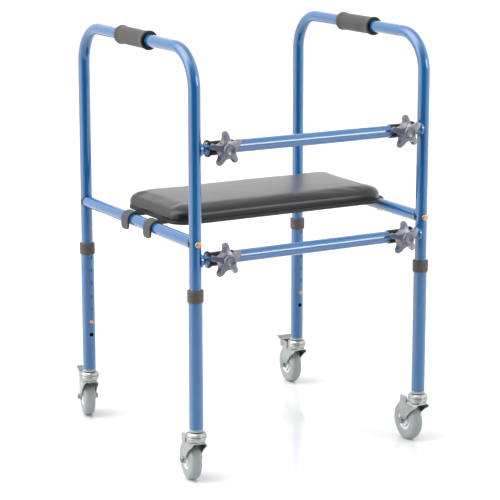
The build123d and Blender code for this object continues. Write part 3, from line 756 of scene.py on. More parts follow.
def joint_named(name: str) -> dict:
    """The joint of that name, as the frame gives it."""
    return next(joint for joint in frame["joints"] if joint["name"] == name)


# ---- Side frames ----


@dataclass
class SideFrame:
    """One bent side frame with its foam grip, side tube, end plugs and bolts (millimetres)."""

    side: Side
    end_radius: float = 17.5
    waist_radius: float = 15.9
    bore: float = 11.05
    end_ring: float = 1.2
    lip: float = 2.2
    flare: float = 13.0
    profile_steps: int = 26
    ring_inset: float = 0.2

    def grip_outline(self, half: float) -> list[Point]:
        """Dog-bone outline of the foam between its end rings.

        Args:
            half: Half the foam's length.

        Returns:
            Closed (radius, height) outline.
        """
        run = half - self.lip
        waist = []
        for step in range(self.profile_steps + 1):
            height = -run + 2 * run * step / self.profile_steps
            from_end = (run - abs(height)) / self.flare
            ease = max(0.0, 1.0 - from_end)
            share = ease * ease * (3 - 2 * ease)
            waist.append((self.waist_radius + (self.end_radius - self.waist_radius) * share, height))
        low = arc((self.end_radius - self.lip, -run), self.lip, -90, 0, 5)
        high = arc((self.end_radius - self.lip, run), self.lip, 0, 90, 5)
        return [(self.bore, -half)] + low[:-1] + waist + high[1:] + [(self.bore, half)]

    def build(self) -> None:
        """Build the grip and dress the tubes."""
        word = self.side.word
        node = f"{word}_grip"
        low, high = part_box(node)
        half = (high.y - low.y) / 2 / MM - self.end_ring
        place = Matrix.Translation(middle_of(node)) @ turn(-90, "X")
        foam = Workpiece().turned(self.grip_outline(half), steps=72)
        foam.finished(f"{word}_foam_grip", FOAM, "frame", (node,), place)
        # Countersunk end rings at both ends of the foam; their black plastic colour is painted shade in the
        # grip's stepped ends.
        rings = Workpiece()
        for end in (-1, 1):
            inner, outer = sorted((end * half, end * (half + self.end_ring)))
            face = self.end_radius - self.lip - self.ring_inset
            corners = ((self.bore, inner, 0), (face, inner, 0), (face, outer, 0.5), (self.bore, outer, 0.4))
            ring = rounded(corners, 3)
            rings.joined(Workpiece().turned(ring, steps=72))
        rings.finished(f"{word}_grip_end_rings", BLACK, "frame", (), place)
        paint_node(f"{word}_frame_tube", BLUE)
        paint_node(f"{word}_side_tube", BLUE)


# ---- Crossbars and knobs ----


@dataclass
class Crossbars:
    """Both crossbars with their welded stubs, rings and sleeves (millimetres)."""

    weld_radius: float = 13.0
    waist_radius: float = 8.8
    flare_radius: float = 11.9
    stub_start: float = 6.0
    fillet_start: float = 10.2
    waist_place: float = 18.5
    stub_end: float = 22.8
    flare_curve: float = 1.6

    def stub_outline(self) -> list[Point]:
        """Waisted stub from inside the leg to the ring, open at both ends on the axis.

        Returns:
            (radius, height) outline.
        """
        start, waist, narrow = self.fillet_start, self.waist_place, self.waist_radius
        points = [(0.0, self.stub_start), (self.weld_radius, self.stub_start), (self.weld_radius, start)]
        for step in range(1, 9):
            angle = math.radians(90 * step / 8)
            radius = self.weld_radius - (self.weld_radius - narrow) * math.sin(angle)
            points.append((radius, start + (waist - start) * (1 - math.cos(angle))))
        for step in range(1, 7):
            share = step / 6
            radius = narrow + (self.flare_radius - narrow) * share**self.flare_curve
            points.append((radius, waist + (self.stub_end - waist) * share))
        points.append((0.0, self.stub_end))
        return points

    def build(self) -> None:
        """Build the stubs and dress the tubes."""
        stubs = Workpiece()
        for side in Side:
            for level in Level:
                bar = middle_of(f"{level.word}_crossbar")
                leg = middle_of(f"front_{side.word}_lower_leg")
                place = Matrix.Translation((leg.x, leg.y, bar.z)) @ turn(-90 * side.value, "Y")
                stub = Workpiece().turned(self.stub_outline(), closed=False, steps=48)
                stubs.joined(stub.moved(place))
        stubs.finished("welded_crossbar_stubs", BLUE, "frame", ("crossbar_sockets",), edge=Edge(sharp=50.0))
        for level in Level:
            paint_node(f"{level.word}_crossbar", BLUE)
        rounded_copy("crossbar_rings", "crossbar_flat_rings", BLACK, "frame", Edge(0.7, 3))
        rounded_copy("crossbar_sleeves", "crossbar_end_sleeves", BLACK, "frame", Edge(0.5))
        paint_node("clamp_nuts", ZINC)


@dataclass
class StarKnob:
    """Five-armed clamp knob with sloping arms and a dished cap (millimetres from the bar's axis)."""

    level: Level
    side: Side
    arms: int = 5
    rest: float = 5.0
    reach: float = 31.5
    tip_radius: float = 5.2
    valley: float = 15.5
    base: float = 12.7
    base_radius: float = 12.0
    tip_back: float = 18.0
    tip_front: float = 23.0
    slope_curve: float = 1.25
    shoulder: float = 32.5
    cap_radius: float = 10.6
    cap_face: float = 36.0
    ridge: float = 2.0
    rim_roll: float = 1.3
    disc_inset: float = 3.4
    disc_drop: float = 0.9
    dish: float = 1.1
    rings: int = 5
    arc_steps: int = 8
    edge: Edge = Edge(1.9, 4, 38.0)

    def outline(self) -> list[Point]:
        """Star of tangent arcs: round arm tips and round valleys.

        Returns:
            The outline's points.
        """
        pitch = 360 / self.arms
        half = math.radians(pitch / 2)
        tip = self.reach - self.tip_radius
        spread = tip**2 + self.valley**2 - 2 * tip * self.valley * math.cos(half) - self.tip_radius**2
        hollow = spread / (2 * (self.tip_radius + tip * math.cos(half) - self.valley))
        far = self.valley + hollow
        lean = math.degrees(math.atan2(far * math.sin(half), tip - far * math.cos(half)))
        points = []
        for arm in range(self.arms):
            angle = 90 + self.rest + arm * pitch
            centre = Vector((tip, 0.0))
            centre.rotate(Matrix.Rotation(math.radians(angle), 2))
            half_tip = 180 - lean
            points += arc(centre, self.tip_radius, angle - half_tip, angle + half_tip, self.arc_steps)[:-1]
            valley = angle + pitch / 2
            middle = Vector((far, 0.0))
            middle.rotate(Matrix.Rotation(math.radians(valley), 2))
            half_valley = half_tip - pitch / 2
            start, end = valley + 180 + half_valley, valley + 180 - half_valley
            points += arc(middle, hollow, start, end, self.arc_steps)[:-1]
        return points

    def front(self, radius: float) -> float:
        """Height of the arms' front face at a radius."""
        share = max(0.0, (radius - self.cap_radius) / (self.reach - self.cap_radius))
        return self.shoulder - (self.shoulder - self.tip_front) * share**self.slope_curve

    def back(self, radius: float) -> float:
        """Height of the arms' back face at a radius."""
        share = max(0.0, (radius - self.base_radius) / (self.reach - self.base_radius))
        return self.base + (self.tip_back - self.base) * share

    def star(self) -> Workpiece:
        """Star body: outline, walls, sloping front rings and back.

        Returns:
            The star.
        """
        work = Workpiece()
        face = work.flat(self.outline())
        for vert in face.verts:
            vert.co.z = self.front(vert.co.xy.length) - self.ridge
        bmesh.ops.delete(work.bm, geom=[face], context="FACES_ONLY")
        rim = list(work.bm.edges)
        self._close(work.bm, rim, self.cap_radius, self.front, self.rings)
        wall = self._next_loop(work.bm, rim, self.base_radius, 1.0, self.back)
        self._close(work.bm, wall, self.base_radius, self.back, 2)
        return work.cleaned()

    def _close(self, bm: bmesh.types.BMesh, loop: list, hub: float, height: Callable, count: int) -> None:
        """Close a loop of edges with rings that step in to the hub, and a flat face there.

        Args:
            bm: The mesh.
            loop: The loop of edges.
            hub: The hub's radius.
            height: Height from the radius.
            count: Number of rings.
        """
        for left in range(count, 0, -1):
            loop = self._next_loop(bm, loop, hub, 1 - 1 / left, height)
        bmesh.ops.edgeloop_fill(bm, edges=loop)

    @staticmethod
    def _next_loop(bm: bmesh.types.BMesh, loop: list, hub: float, share: float, height: Callable) -> list:
        """Extrude a loop of edges towards the hub.

        Args:
            bm: The mesh.
            loop: Edges to extrude.
            hub: The hub's radius.
            share: What is left of the way from the loop to the hub.
            height: New height from the new radius.

        Returns:
            The new loop's edges.
        """
        grown = bmesh.ops.extrude_edge_only(bm, edges=loop)["geom"]
        fresh = [item for item in grown if isinstance(item, bmesh.types.BMVert)]
        for vert in fresh:
            radius = hub + (vert.co.xy.length - hub) * share
            plan = vert.co.xy.normalized() * radius
            vert.co = (plan.x, plan.y, height(radius))
        new = set(fresh)
        return [item for item in grown if isinstance(item, bmesh.types.BMEdge) and new.issuperset(item.verts)]

    def cap(self) -> Workpiece:
        """Raised round cap: rolled rim, fine groove, dished disc and centre dimple.

        Returns:
            The cap.
        """
        face, rim, roll, base = self.cap_face, self.cap_radius, self.rim_roll, self.shoulder
        disc, seat = rim - self.disc_inset, face - self.disc_drop
        outline = [(rim + 1.2, base - 1.0), (rim + 0.7, base + 0.2), (rim, base + 1.2)]
        outline += arc((rim - roll, face - roll), roll, 0, 100, 6)
        outline += [(rim - 2.4, face - 1.0), (rim - 2.7, face - 1.5), (rim - 3.1, face - 1.5), (disc, seat)]
        for step in range(1, 6):
            share = 1 - step / 6
            outline.append((disc * share, seat - self.dish * (1 - share**2)))
        outline += [(1.0, face - 2.1), (0.0, face - 2.15)]
        return Workpiece().turned(outline, closed=False, steps=64)

    def build(self) -> None:
        """Build the knob on its joint's axis."""
        name = f"{self.level.word}_{self.side.word}_knob"
        joint = joint_named(f"{name}_turn")
        x, _, z = (value / MM for value in joint["pos_m"])
        place = Matrix.Translation((x, middle_of(f"{self.level.word}_crossbar").y, z)) @ turn(90, "X")
        star = self.star().joined(self.cap())
        piece = star.finished(f"{name}_star", KNOB, name, (name,), place, self.edge)
        piece.modifiers["edge_rounding"].use_clamp_overlap = True
        paint_node(f"{name}_stud", ZINC)


# ---- Lower legs ----


@dataclass
class LowerLeg:
    """One sliding lower leg with its ribbed collar and snap button (millimetres)."""

    row: Row
    side: Side
    bore: float = 11.35
    leg_radius: float = 12.55
    valley_radius: float = 13.75
    ribs: int = 4
    rib_steps: int = 8
    rib_curve: float = 0.6
    mouth: float = 0.6

    def collar_outline(self, radius: float, length: float, lip: float) -> list[Point]:
        """Ribbed outside over a stepped bore.

        Args:
            radius: Over the ribs.
            length: Of the collar.
            lip: Height of the inner lip above the leg's end.

        Returns:
            Closed (radius, height) outline.
        """
        outline = [(self.leg_radius, 0.0), (self.valley_radius, 0.0)]
        pitch = length / self.ribs
        depth = radius - self.valley_radius
        for rib in range(self.ribs):
            for step in range(1, self.rib_steps):
                share = step / self.rib_steps
                swell = math.sin(math.pi * share) ** self.rib_curve
                outline.append((self.valley_radius + depth * swell, pitch * (rib + share)))
        outline += [(self.valley_radius - self.mouth, length), (self.bore, length)]
        return outline + [(self.bore, length - lip), (self.leg_radius, length - lip)]

    def build(self) -> None:
        """Build the collar and dress the leg."""
        leg = f"{self.row.word}_{self.side.word}"
        low, high = (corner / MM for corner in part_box(f"{leg}_collar"))
        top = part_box(f"{leg}_lower_leg")[1].z / MM
        outline = self.collar_outline((high.x - low.x) / 2, high.z - low.z, high.z - top)
        place = Matrix.Translation(((low.x + high.x) / 2, (low.y + high.y) / 2, low.z))
        collar = Workpiece().turned(outline, steps=64)
        collar.finished(f"{leg}_ribbed_collar", COLLAR, f"{leg}_leg", (f"{leg}_collar",), place,
                        Edge(sharp=60.0))
        paint_node(f"{leg}_lower_leg", LIGHT_BLUE)
        paint_node(f"{leg}_snap_button", BRASS)


# ---- Casters ----


@dataclass
class Caster:
    """One swivel caster, built about its swivel axis with its trail along +Y (millimetres)."""

    row: Row
    side: Side
    leg: str = field(init=False)
    place: Matrix = field(init=False)
    trail: float = field(init=False)
    wheel_radius: float = field(init=False)
    wheel_width: float = 22.0
    hub_radius: float = 18.5
    boss_radius: float = 12.0
    boss_reach: float = 12.4
    axle_radius: float = 3.0
    fork_middle: float = 14.0
    sheet: float = 2.4
    crown_middle: float = 78.7
    bend: float = 6.2
    lead: float = 17.5
    lead_corner: float = 7.0
    arch: float = 3.5
    trailing: float = 38.0
    eye: float = 8.0
    ear_start: float = 17.0
    ear_top: float = 87.0
    slit: float = 2.0
    slit_end: float = 2.0
    fold_steps: int = 8
    seam: float = 0.01
    fork_edge: Edge = Edge(0.55, 2, 50.0)
    crown_top: float = 79.9
    housing_top: float = 96.7
    housing_radius: float = 18.4
    neck_radius: float = 12.5
    pin_radius: float = 3.0
    plug_radius: float = 11.1
    race_bore: float = 3.2
    washer_bore: float = 3.1
    tyre_shoulder: float = 8.5
    nut_flats: float = 10.0
    nut_height: float = 4.5
    washer_height: float = 0.8
    pitch: float = 0.9

    def __post_init__(self) -> None:
        """Take the caster's place from its joints."""
        self.leg = f"{self.row.word}_{self.side.word}"
        swivel = Vector(joint_named(f"{self.leg}_caster_swivel")["pos_m"]) / MM
        spin = joint_named(f"{self.leg}_wheel_spin")
        axle = Vector(spin["pos_m"]) / MM
        across = Vector(spin["axis"]).normalized()
        back = Vector((-across.y, across.x, 0.0))
        self.trail = (axle.xy - swivel.xy).length
        self.wheel_radius = axle.z
        facing = Matrix((across, back, Vector((0, 0, 1)))).transposed().to_4x4()
        self.place = Matrix.Translation((swivel.x, swivel.y, 0.0)) @ facing

    def add(self, work: Workpiece, part: str, finish: Finish, body: str, node: str = "",
            place: Optional[Matrix] = None, edge: Edge = Edge()) -> bpy.types.Object:
        """Dress a piece of this caster.

        Args:
            work: The piece's shape.
            part: Its name, without the leg's.
            finish: Its finish.
            body: The body that it rides on, without the leg's name.
            node: The node that it replaces, if any, without the leg's name.
            place: Its place, if not on the swivel axis.
            edge: How its edges are finished.

        Returns:
            The piece.
        """
        stands_for = (f"{self.leg}_{node}",) if node else ()
        place = place or self.place
        return work.finished(f"{self.leg}_{part}", finish, f"{self.leg}_{body}", stands_for, place, edge)

    @property
    def wheel_place(self) -> Matrix:
        """Place of a wheel piece that is turned about its own Z."""
        centre = Matrix.Translation((0.0, self.trail, self.wheel_radius))
        return self.place @ centre @ turn(90, "Y")

    def fork_pattern(self, fold: float) -> list[Point]:
        """Flat pattern of half the fork: way round the sheet from its middle, and place along the trail.

        Args:
            fold: Distance from the middle to the end of the bend.

        Returns:
            The outline's points.
        """
        bend_end = self.crown_middle - self.bend
        lead = Vector((fold, -self.lead))
        eye = Vector((fold + bend_end - self.wheel_radius, self.trail - self.eye))
        run = (eye - lead).normalized()
        across = Vector((-run.y, run.x))
        shares = [step / 10 for step in range(1, 10)]
        hollow = [lead.lerp(eye, share) + across * self.arch * 4 * share * (1 - share) for share in shares]
        ring = [(eye.x + self.eye * math.sin(a), self.trail - self.eye * math.cos(a))
                for a in (math.pi * step / 12 for step in range(11))]
        top = fold - (self.ear_top - bend_end)
        corners = [
            (0.0, -self.lead, 0),
            (lead.x, lead.y, self.lead_corner),
            *[(point.x, point.y, 0) for point in hollow],
            *[(x, y, 0) for x, y in ring],
            (eye.x - 2 * self.eye, self.trailing, 4.0),
            (top, self.trailing, 5.0),
            (top, self.ear_start, 2.5),
            (fold + self.slit_end, self.ear_start, 0.9),
            (fold + self.slit_end, self.ear_start - self.slit, 0.9),
            (0.0, self.ear_start - self.slit, 0),
        ]
        return rounded(corners, 6)

    def folded(self, flat: Vector, fold: float) -> Vector:
        """Place of a point of the flat pattern on the folded fork.

        Args:
            flat: The point of the pattern.
            fold: Distance from the middle to the end of the bend.

        Returns:
            Its place on the folded sheet.
        """
        start = self.fork_middle - self.bend
        bend_end = self.crown_middle - self.bend
        if flat.y > self.ear_start - self.slit / 2 or flat.x >= fold:
            return Vector((self.fork_middle, flat.y, bend_end + fold - flat.x))
        if flat.x <= start:
            return Vector((flat.x, flat.y, self.crown_middle))
        angle = (flat.x - start) / self.bend
        return Vector((start + self.bend * math.sin(angle), flat.y, bend_end + self.bend * math.cos(angle)))

    def fork(self) -> None:
        """Pressed sheet fork: crown, wide bends, arched cheeks and ears beside the housing."""
        start = self.fork_middle - self.bend
        fold = start + self.bend * math.pi / 2
        work = Workpiece()
        bm = work.bm
        work.flat(self.fork_pattern(fold))
        for step in range(self.fold_steps + 1):
            line = start + (fold - start) * step / self.fold_steps
            bmesh.ops.bisect_plane(bm, geom=whole(bm), plane_co=(line, 0, 0), plane_no=(1, 0, 0), dist=0.0001)
        for vert in bm.verts:
            vert.co = self.folded(vert.co, fold)
        bmesh.ops.mirror(bm, geom=whole(bm), matrix=Matrix.Identity(4), merge_dist=self.seam, axis="X")
        work.cleaned(self.seam)
        piece = self.add(work, "pressed_fork", ZINC, "swivel", "fork", edge=Edge(sharp=40.0))
        wall = piece.modifiers.new("sheet", "SOLIDIFY")
        wall.thickness = self.sheet * MM
        wall.offset = 0.0
        wall.use_even_offset = True
        self.fork_edge.round(piece)

    def housing(self) -> None:
        """Ball-race housing: flanged cup below, domed and ribbed cap above a narrow gap."""
        low, top, radius, bore = self.crown_top, self.housing_top, self.housing_radius, self.race_bore
        cup = rounded([
            (bore, low - 0.4, 0), (radius - 1.8, low - 0.4, 0.8), (radius - 1.4, low + 4.4, 0.6),
            (radius, low + 5.0, 0.7), (radius, low + 8.0, 0.8), (radius - 1.2, low + 8.6, 0.4),
            (bore, low + 8.6, 0),
        ], 4)
        cap = rounded([
            (bore, low + 8.2, 0), (radius - 1.4, low + 8.2, 0.3), (radius - 1.2, low + 9.3, 0.3),
            (radius - 0.2, low + 9.8, 0.6), (radius - 0.3, low + 13.2, 1.4), (radius - 2.2, low + 14.4, 0.8),
            (radius - 3.2, low + 15.8, 0.8), (self.neck_radius - 0.6, top - 0.2, 0.5),
            (self.neck_radius - 1.5, top, 0.3), (bore, top, 0),
        ], 4)
        work = Workpiece().turned(cup, steps=72).joined(Workpiece().turned(cap, steps=72))
        self.add(work, "ball_race", ZINC, "swivel", edge=Edge(sharp=32.0))

    def stem(self) -> None:
        """King pin with its riveted head, the expander plug in the leg, and the neck washer."""
        low, high = (corner.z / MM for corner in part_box(f"{self.leg}_caster_stem"))
        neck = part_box(f"{self.leg}_lower_leg")[0].z / MM
        slim, plug = self.pin_radius, self.plug_radius
        pin = [(0, low), (4.4, low), (6.4, low + 1.2), (7.0, low + 2.4), (7.0, low + 5.0), (slim, low + 5.0),
               (slim, neck), (plug, neck), (plug, high - 2.0), (plug - 2.0, high), (0, high)]
        work = Workpiece().turned(pin, closed=False, steps=48)
        self.add(work, "king_pin", ZINC, "leg", "caster_stem")
        radius, bore = self.neck_radius, self.washer_bore
        start = self.housing_top + 0.3
        ring = rounded([(bore, start, 0), (radius, start, 0.7), (radius, start + 2.0, 0.6),
                        (radius - 0.9, start + 2.4, 0.3), (radius - 0.9, neck - 1.4, 0.3),
                        (radius - 0.1, neck - 1.0, 0.4), (radius - 0.1, neck - 0.1, 0.3),
                        (bore, neck - 0.1, 0)], 4)
        self.add(Workpiece().turned(ring, steps=56), "neck_washer", WASHER, "leg")

    def wheel(self) -> None:
        """Grey tyre with stepped side walls, and a pale hub with a round boss in a deep ring."""
        radius, half, hub = self.wheel_radius, self.wheel_width / 2, self.hub_radius
        shoulder = self.tyre_shoulder
        side = [(hub, half - 1.6), (hub + 1.3, half - 0.7), (hub + 2.2, half - 0.6), (hub + 2.8, half),
                (radius - shoulder - 2.6, half), (radius - shoulder - 2.0, half - 0.5)]
        curve = arc((radius - shoulder, half - shoulder - 0.1), shoulder, 86, 4, 10)
        tread = side + curve + [(radius, 0.5), (radius, 0.0)]
        outline = tread + [(r, -h) for r, h in reversed(tread[:-1])]
        tyre = Workpiece().turned(outline, steps=96)
        self.add(tyre, "rubber_tyre", TYRE, "wheel", "tyre", self.wheel_place, Edge(sharp=30.0))
        bore, boss, reach = self.axle_radius + 0.1, self.boss_radius, self.boss_reach
        face = [(bore, reach), (boss - 3.5, reach), (boss - 2.9, reach - 0.5), (boss - 0.6, reach - 1.1),
                (boss, reach - 1.8), (boss + 0.3, half - 5.0), (boss + 2.4, half - 5.2),
                (boss + 3.0, half - 2.6), (hub - 2.0, half - 1.9), (hub - 0.05, half - 1.5)]
        ring = face + [(r, -h) for r, h in reversed(face)]
        centre = Workpiece().turned(ring, steps=72)
        self.add(centre, "wheel_hub", HUB, "wheel", "hub", self.wheel_place, Edge(sharp=30.0))

    def axle(self) -> None:
        """Axle bolt with a hexagon head, a nut and its threaded end, and a washer on each side."""
        outer = self.fork_middle + self.sheet / 2 + 0.05
        reach = self.nut_flats / 2 / math.cos(math.radians(30))
        top = outer + self.washer_height
        work = Workpiece()
        for end in (0, 1):
            nut = Workpiece().prism(arc((0.0, 0.0), reach, 0, 300, 5), top + 0.1, outer + self.nut_height)
            bevelled(nut.bm, [v for v in nut.bm.verts if v.co.z > outer + 2], 0.9, 2, "VERTICES")
            bore, rim = self.washer_bore, reach + 0.3
            washer = rounded([(bore, outer, 0), (rim, outer, 0.2), (rim, top, 0.3), (bore, top, 0)], 2)
            nut.joined(Workpiece().turned(washer, steps=40))
            if end:
                nut.joined(Workpiece().turned(self.thread(outer), closed=False, steps=32))
            work.joined(nut.moved(turn(180 * (1 - end), "X")))
        shank = [(0, -outer - 1), (2.9, -outer - 1), (2.9, outer + 1), (0, outer + 1)]
        work.joined(Workpiece().turned(shank, closed=False, steps=32))
        self.add(work, "axle_bolt", DARK_STEEL, "swivel", "axle", self.wheel_place, Edge(0.25, 2, 32.0))

    def thread(self, outer: float) -> list[Point]:
        """Ridged outline of the bolt's end beyond the nut.

        Args:
            outer: Height of the fork's outside.

        Returns:
            (radius, height) outline.
        """
        start, end = outer + self.nut_height - 2.2, outer + self.nut_height + 1.0
        points = [(0.0, start)]
        for ridge in range(3):
            height = start + ridge * self.pitch
            points += [(2.5, height), (2.95, height + self.pitch / 2)]
        return points + [(2.5, end - 0.1), (2.1, end), (0.0, end)]

    def build(self) -> None:
        """Build every piece of the caster."""
        self.fork()
        self.housing()
        self.stem()
        self.wheel()
        self.axle()
        if self.row is Row.REAR:
            rounded_copy(f"{self.leg}_brake_pedal", f"{self.leg}_pressed_pedal", DARK_STEEL,
                         f"{self.leg}_pedal", Edge(0.35))


# ---- Seat ----


@dataclass
class Seat:
    """Hook-on seat: simulated vinyl cushion, board, hooks and screws (millimetres)."""

    start_inset: float = 1.5
    start_drop: float = 4.5
    crown: float = 3.0
    corner: float = 37.0
    corner_steps: int = 8
    top_edge: float = 17.0
    top_steps: int = 7
    voxel: float = 4.0
    pressure: float = 4.0
    frames: int = 20
    most_swell: float = 2.5
    pinned: float = 2.5
    smoothings: int = 3
    tuck: float = 4.5
    tuck_reach: float = 0.55
    tuck_curve: float = 1.5
    side_start: float = 1.0
    pleats: int = 7
    pleat_depth: float = 1.5
    pleat_height: float = 15.0
    pleat_fade: float = 0.8
    fill: float = 0.8

    def start_shape(self, low: Vector, high: Vector) -> bpy.types.Mesh:
        """Slightly small block with rounded corners and edges, in metres.

        Args:
            low: Lowest corner of its space, in millimetres.
            high: Highest corner of its space, in millimetres.

        Returns:
            The block.
        """
        bm = bmesh.new()
        size = high - low
        bmesh.ops.create_cube(bm, size=1.0)
        span = (size.x - 2 * self.start_inset, size.y - 2 * self.start_inset, size.z - self.start_drop)
        bmesh.ops.scale(bm, vec=span, verts=bm.verts)
        upright = [e for e in bm.edges if abs(e.verts[0].co.z - e.verts[1].co.z) > 1]
        bevelled(bm, upright, self.corner, self.corner_steps)
        top = [e for e in bm.edges if all(v.co.z > 0 for v in e.verts)]
        bevelled(bm, top, self.top_edge, self.top_steps)
        middle = (low + high) / 2
        drop = Vector((0.0, 0.0, self.start_drop / 2))
        bmesh.ops.transform(bm, matrix=Matrix.Translation(middle - drop), verts=bm.verts)
        bmesh.ops.scale(bm, vec=(MM, MM, MM), verts=bm.verts)
        return mesh_of(bm, "cushion_start")

    @staticmethod
    def evaluated(piece: bpy.types.Object) -> bpy.types.Mesh:
        """The piece's mesh with its modifiers applied."""
        graph = bpy.context.evaluated_depsgraph_get()
        return bpy.data.meshes.new_from_object(piece.evaluated_get(graph), depsgraph=graph)

    def swollen(self, piece: bpy.types.Object, bottom: float) -> None:
        """Swell the cover with air pressure above its held lower edge, up to a cap.

        Args:
            piece: The remeshed cushion, changed in place.
            bottom: Height of its lower face, in metres.
        """
        start = [vert.co.copy() for vert in piece.data.vertices]
        group = piece.vertex_groups.new(name="lower_edge")
        held = [v.index for v in piece.data.vertices if v.co.z < bottom + self.pinned * MM]
        group.add(held, 1.0, "REPLACE")
        cloth = piece.modifiers.new("cover", "CLOTH")
        settings = cloth.settings
        settings.use_pressure = True
        settings.uniform_pressure_force = self.pressure
        settings.vertex_group_mass = group.name
        settings.effector_weights.gravity = 0.0
        cloth.point_cache.frame_start = 1
        cloth.point_cache.frame_end = self.frames
        scene = bpy.context.scene
        for number in range(1, self.frames + 1):
            scene.frame_set(number)
        result = self.evaluated(piece)
        piece.modifiers.remove(cloth)
        piece.vertex_groups.clear()
        for vert, place, moved in zip(piece.data.vertices, start, result.vertices):
            move = moved.co - place
            if move.length > self.most_swell * MM:
                move *= self.most_swell * MM / move.length
            vert.co = place + move
        bpy.data.meshes.remove(result)
        scene.frame_set(1)

    def smoothed(self, mesh: bpy.types.Mesh) -> None:
        """Even out the cover's mesh.

        Args:
            mesh: The mesh, changed in place.
        """
        bm = bmesh.new()
        bm.from_mesh(mesh)
        for _ in range(self.smoothings):
            bmesh.ops.smooth_vert(bm, verts=bm.verts, factor=0.5,
                                  use_axis_x=True, use_axis_y=True, use_axis_z=True)
        bm.to_mesh(mesh)
        bm.free()

    def tailored(self, mesh: bpy.types.Mesh, low: Vector, high: Vector) -> None:
        """Crown the top, tuck the lower side under, and pleat the cover at the lower corners.

        Args:
            mesh: The cushion, in metres, changed in place.
            low: Lowest corner of its space, in millimetres.
            high: Highest corner of its space, in millimetres.
        """
        middle = (low + high) / 2
        half = (high - low) / 2
        straight = Vector((half.x - self.corner, half.y - self.corner))
        height = high.z - low.z
        for vert in mesh.vertices:
            spot = vert.co / MM - middle
            rise = (spot.z + half.z) / height
            bow = (1 - (spot.x / half.x) ** 4) * (1 - (spot.y / half.y) ** 2)
            spot.z += self.crown * max(0.0, bow) * max(0.0, rise) ** 2
            vert.co = (spot + middle) * MM
            out = Vector((max(0.0, abs(spot.x) - straight.x), max(0.0, abs(spot.y) - straight.y)))
            if out.length < self.side_start:
                continue
            edge = min(1.0, out.length / self.corner)
            outwards = Vector((math.copysign(out.x, spot.x), math.copysign(out.y, spot.y))).normalized()
            pull = self.tuck * max(0.0, 1 - rise / self.tuck_reach) ** self.tuck_curve
            angle = math.atan2(out.y, out.x)
            in_corner = math.sin(2 * angle) ** 2 if out.x > 0 and out.y > 0 else 0.0
            fade = max(0.0, 1 - rise * height / self.pleat_height)
            fold = math.sin(angle * 4 * self.pleats) * fade**self.pleat_fade * in_corner
            pull += self.pleat_depth * (1 - fold) * fade * in_corner
            spot.xy -= outwards * pull * edge
            vert.co = (spot + middle) * MM

    def cushion(self) -> None:
        """Simulate the cushion's cover and dress it."""
        low, high = (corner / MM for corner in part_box("seat_cushion"))
        piece = linked("cushion_work", self.start_shape(low, high))
        remesh = piece.modifiers.new("even_mesh", "REMESH")
        remesh.mode = "VOXEL"
        remesh.voxel_size = self.voxel * MM
        even = self.evaluated(piece)
        piece.modifiers.remove(remesh)
        piece.data = even
        self.swollen(piece, low.z * MM)
        self.smoothed(piece.data)
        self.tailored(piece.data, low, high)
        mesh = piece.data
        bpy.data.objects.remove(piece)
        cushion = dressed("vinyl_cushion", mesh, VINYL, "seat", ("seat_cushion",), Edge(sharp=180.0))
        smooth = cushion.modifiers.new("smooth", "SUBSURF")
        smooth.levels = 1
        smooth.render_levels = 1

    def build(self) -> None:
        """Build the seat."""
        self.cushion()
        rounded_copy("seat_board", "seat_base_board", BOARD, "seat", Edge(0.6))
        rounded_copy("seat_hooks", "seat_strap_hooks", HOOK, "seat", Edge(0.7, 3, 30.0))
        paint_node("seat_hook_screws", ZINC)


# ---- Studio ----


@dataclass(frozen=True)
class Glow:
    """A patch of the surroundings: the way to it, where it starts and is full, and its brightness."""

    way: Sequence[float]
    start: float
    full: float
    colour: Colour

    def over(self, palette: Palette, direction: bpy.types.NodeSocket, sky: Link) -> bpy.types.NodeSocket:
        """Lay the patch over the sky so far.

        Args:
            palette: Where the nodes go.
            direction: The direction looked in.
            sky: The sky so far.

        Returns:
            The sky with the patch.
        """
        settings = {"operation": "DOT_PRODUCT"}
        facing = palette.node("ShaderNodeVectorMath", settings, {0: direction, 1: self.way}).outputs["Value"]
        return palette.mix(Shade(palette, facing).between(self.start, self.full), sky, self.colour)


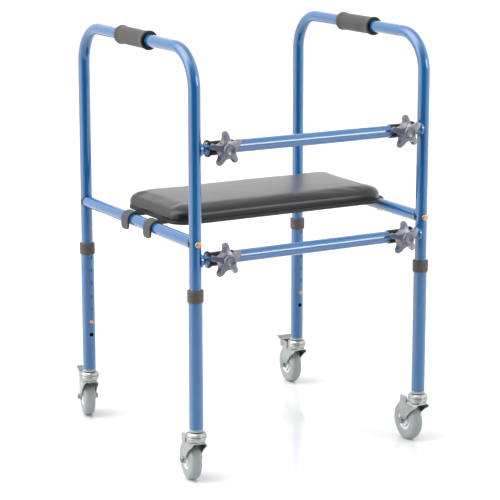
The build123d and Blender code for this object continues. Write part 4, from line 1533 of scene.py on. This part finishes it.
@dataclass
class Studio:
    """Pale floor, soft light and the camera (metres)."""

    camera_place: Sequence[float] = (-1.7795, -3.1315, 1.1586)
    camera_turn: Sequence[float] = (77.34, 0.0, -29.72)
    lens: float = 141.5
    sensor: float = 36.0
    far_clip: float = 200.0
    horizon: Colour = (1.15, 1.15, 1.15)
    overhead: Glow = Glow((0.0, 0.0, 1.0), 0.45, 1.0, (0.9, 0.9, 0.9))
    right: Glow = Glow((0.86, -0.5, 0.1), 0.3, 1.0, (1.9, 1.9, 1.9))
    left: Glow = Glow((-0.75, -0.1, 0.65), 0.4, 1.0, (5.5, 5.5, 5.5))
    front: Glow = Glow((-0.5, -0.86, 0.05), 0.25, 0.85, (0.22, 0.23, 0.25))
    floor_size: float = 60.0
    floor_colour: Colour = (0.68, 0.68, 0.68)
    floor_roughness: float = 0.09
    light_place: Sequence[float] = (1.46, -2.68, 1.42)
    light_aim: Sequence[float] = (0.0, -0.23, 0.5)
    light_size: float = 1.0
    light_power: float = 26.0
    flag_place: Sequence[float] = (-0.9, -1.7, 0.55)
    flag_turn: float = -28.0
    flag_size: Point = (2.6, 1.1)
    flag_colour: Colour = (0.01, 0.012, 0.015)

    def card(self, name: str, place: Matrix, colour: Colour, roughness: float) -> bpy.types.Object:
        """Plain flat card of the studio.

        Args:
            name: Its name.
            place: Its place and size, from a square of 1 m in the plane Z 0.
            colour: Its colour.
            roughness: Its roughness.

        Returns:
            The card.
        """
        bm = bmesh.new()
        bmesh.ops.create_grid(bm, x_segments=1, y_segments=1, size=0.5, matrix=place)
        card = linked(name, mesh_of(bm, name))
        material = bpy.data.materials.new(name)
        material.use_nodes = True
        Palette(material.node_tree).surface({"Base Color": colour, "Roughness": roughness})
        card.data.materials.append(material)
        return card

    def cards(self) -> None:
        """Pale floor, and a dark upright card that only reflections see."""
        self.card("studio_floor", Matrix.Scale(self.floor_size, 4), self.floor_colour, self.floor_roughness)
        stand = turn(self.flag_turn, "Z") @ turn(90, "X")
        place = Matrix.Translation(self.flag_place) @ stand @ Matrix.Diagonal((*self.flag_size, 1.0, 1.0))
        flag = self.card("front_flag", place, self.flag_colour, 1.0)
        flag.visible_camera = False
        flag.visible_shadow = False

    def light(self) -> None:
        """Square soft light in front."""
        data = bpy.data.lights.new("front_light", "AREA")
        data.shape = "SQUARE"
        data.size = self.light_size
        data.energy = self.light_power
        lamp = linked("front_light", data)
        lamp.location = self.light_place
        aim = Vector(self.light_aim) - Vector(self.light_place)
        lamp.rotation_euler = aim.to_track_quat("-Z", "Y").to_euler()

    def world(self) -> None:
        """White surroundings, bright on the left, dimmer overhead and darker in front."""
        world = bpy.data.worlds.new("studio")
        world.use_nodes = True
        palette = Palette(world.node_tree)
        direction = palette.node("ShaderNodeTexCoord", {}, {}).outputs["Generated"]
        sky = self.horizon
        for glow in (self.overhead, self.right, self.left, self.front):
            sky = glow.over(palette, direction, sky)
        light = palette.node("ShaderNodeBackground", {}, {"Color": sky, "Strength": 1.0})
        palette.node("ShaderNodeOutputWorld", {}, {"Surface": light.outputs[0]})
        bpy.context.scene.world = world

    def camera(self) -> None:
        """Camera on a long lens."""
        data = bpy.data.cameras.new("camera")
        data.lens = self.lens
        data.sensor_width = self.sensor
        data.clip_end = self.far_clip
        camera = linked("camera", data)
        camera.location = self.camera_place
        camera.rotation_euler = [math.radians(angle) for angle in self.camera_turn]
        bpy.context.scene.camera = camera

    def build(self) -> None:
        """Set up the studio."""
        self.camera()
        self.cards()
        self.world()
        self.light()
        bpy.context.scene.view_settings.view_transform = "Standard"


def main() -> None:
    """Build the studio and every sub-assembly in order."""
    logging.basicConfig(level=logging.INFO, format="%(message)s")
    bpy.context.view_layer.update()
    Studio().build()
    for side in Side:
        SideFrame(side).build()
    paint_node("side_tube_plugs", BLACK)
    paint_node("side_tube_bolts", BRASS)
    Crossbars().build()
    for level in Level:
        for side in Side:
            StarKnob(level, side).build()
    for row in Row:
        for side in Side:
            LowerLeg(row, side).build()
            Caster(row, side).build()
    Seat().build()


if __name__ == "__main__":
    main()
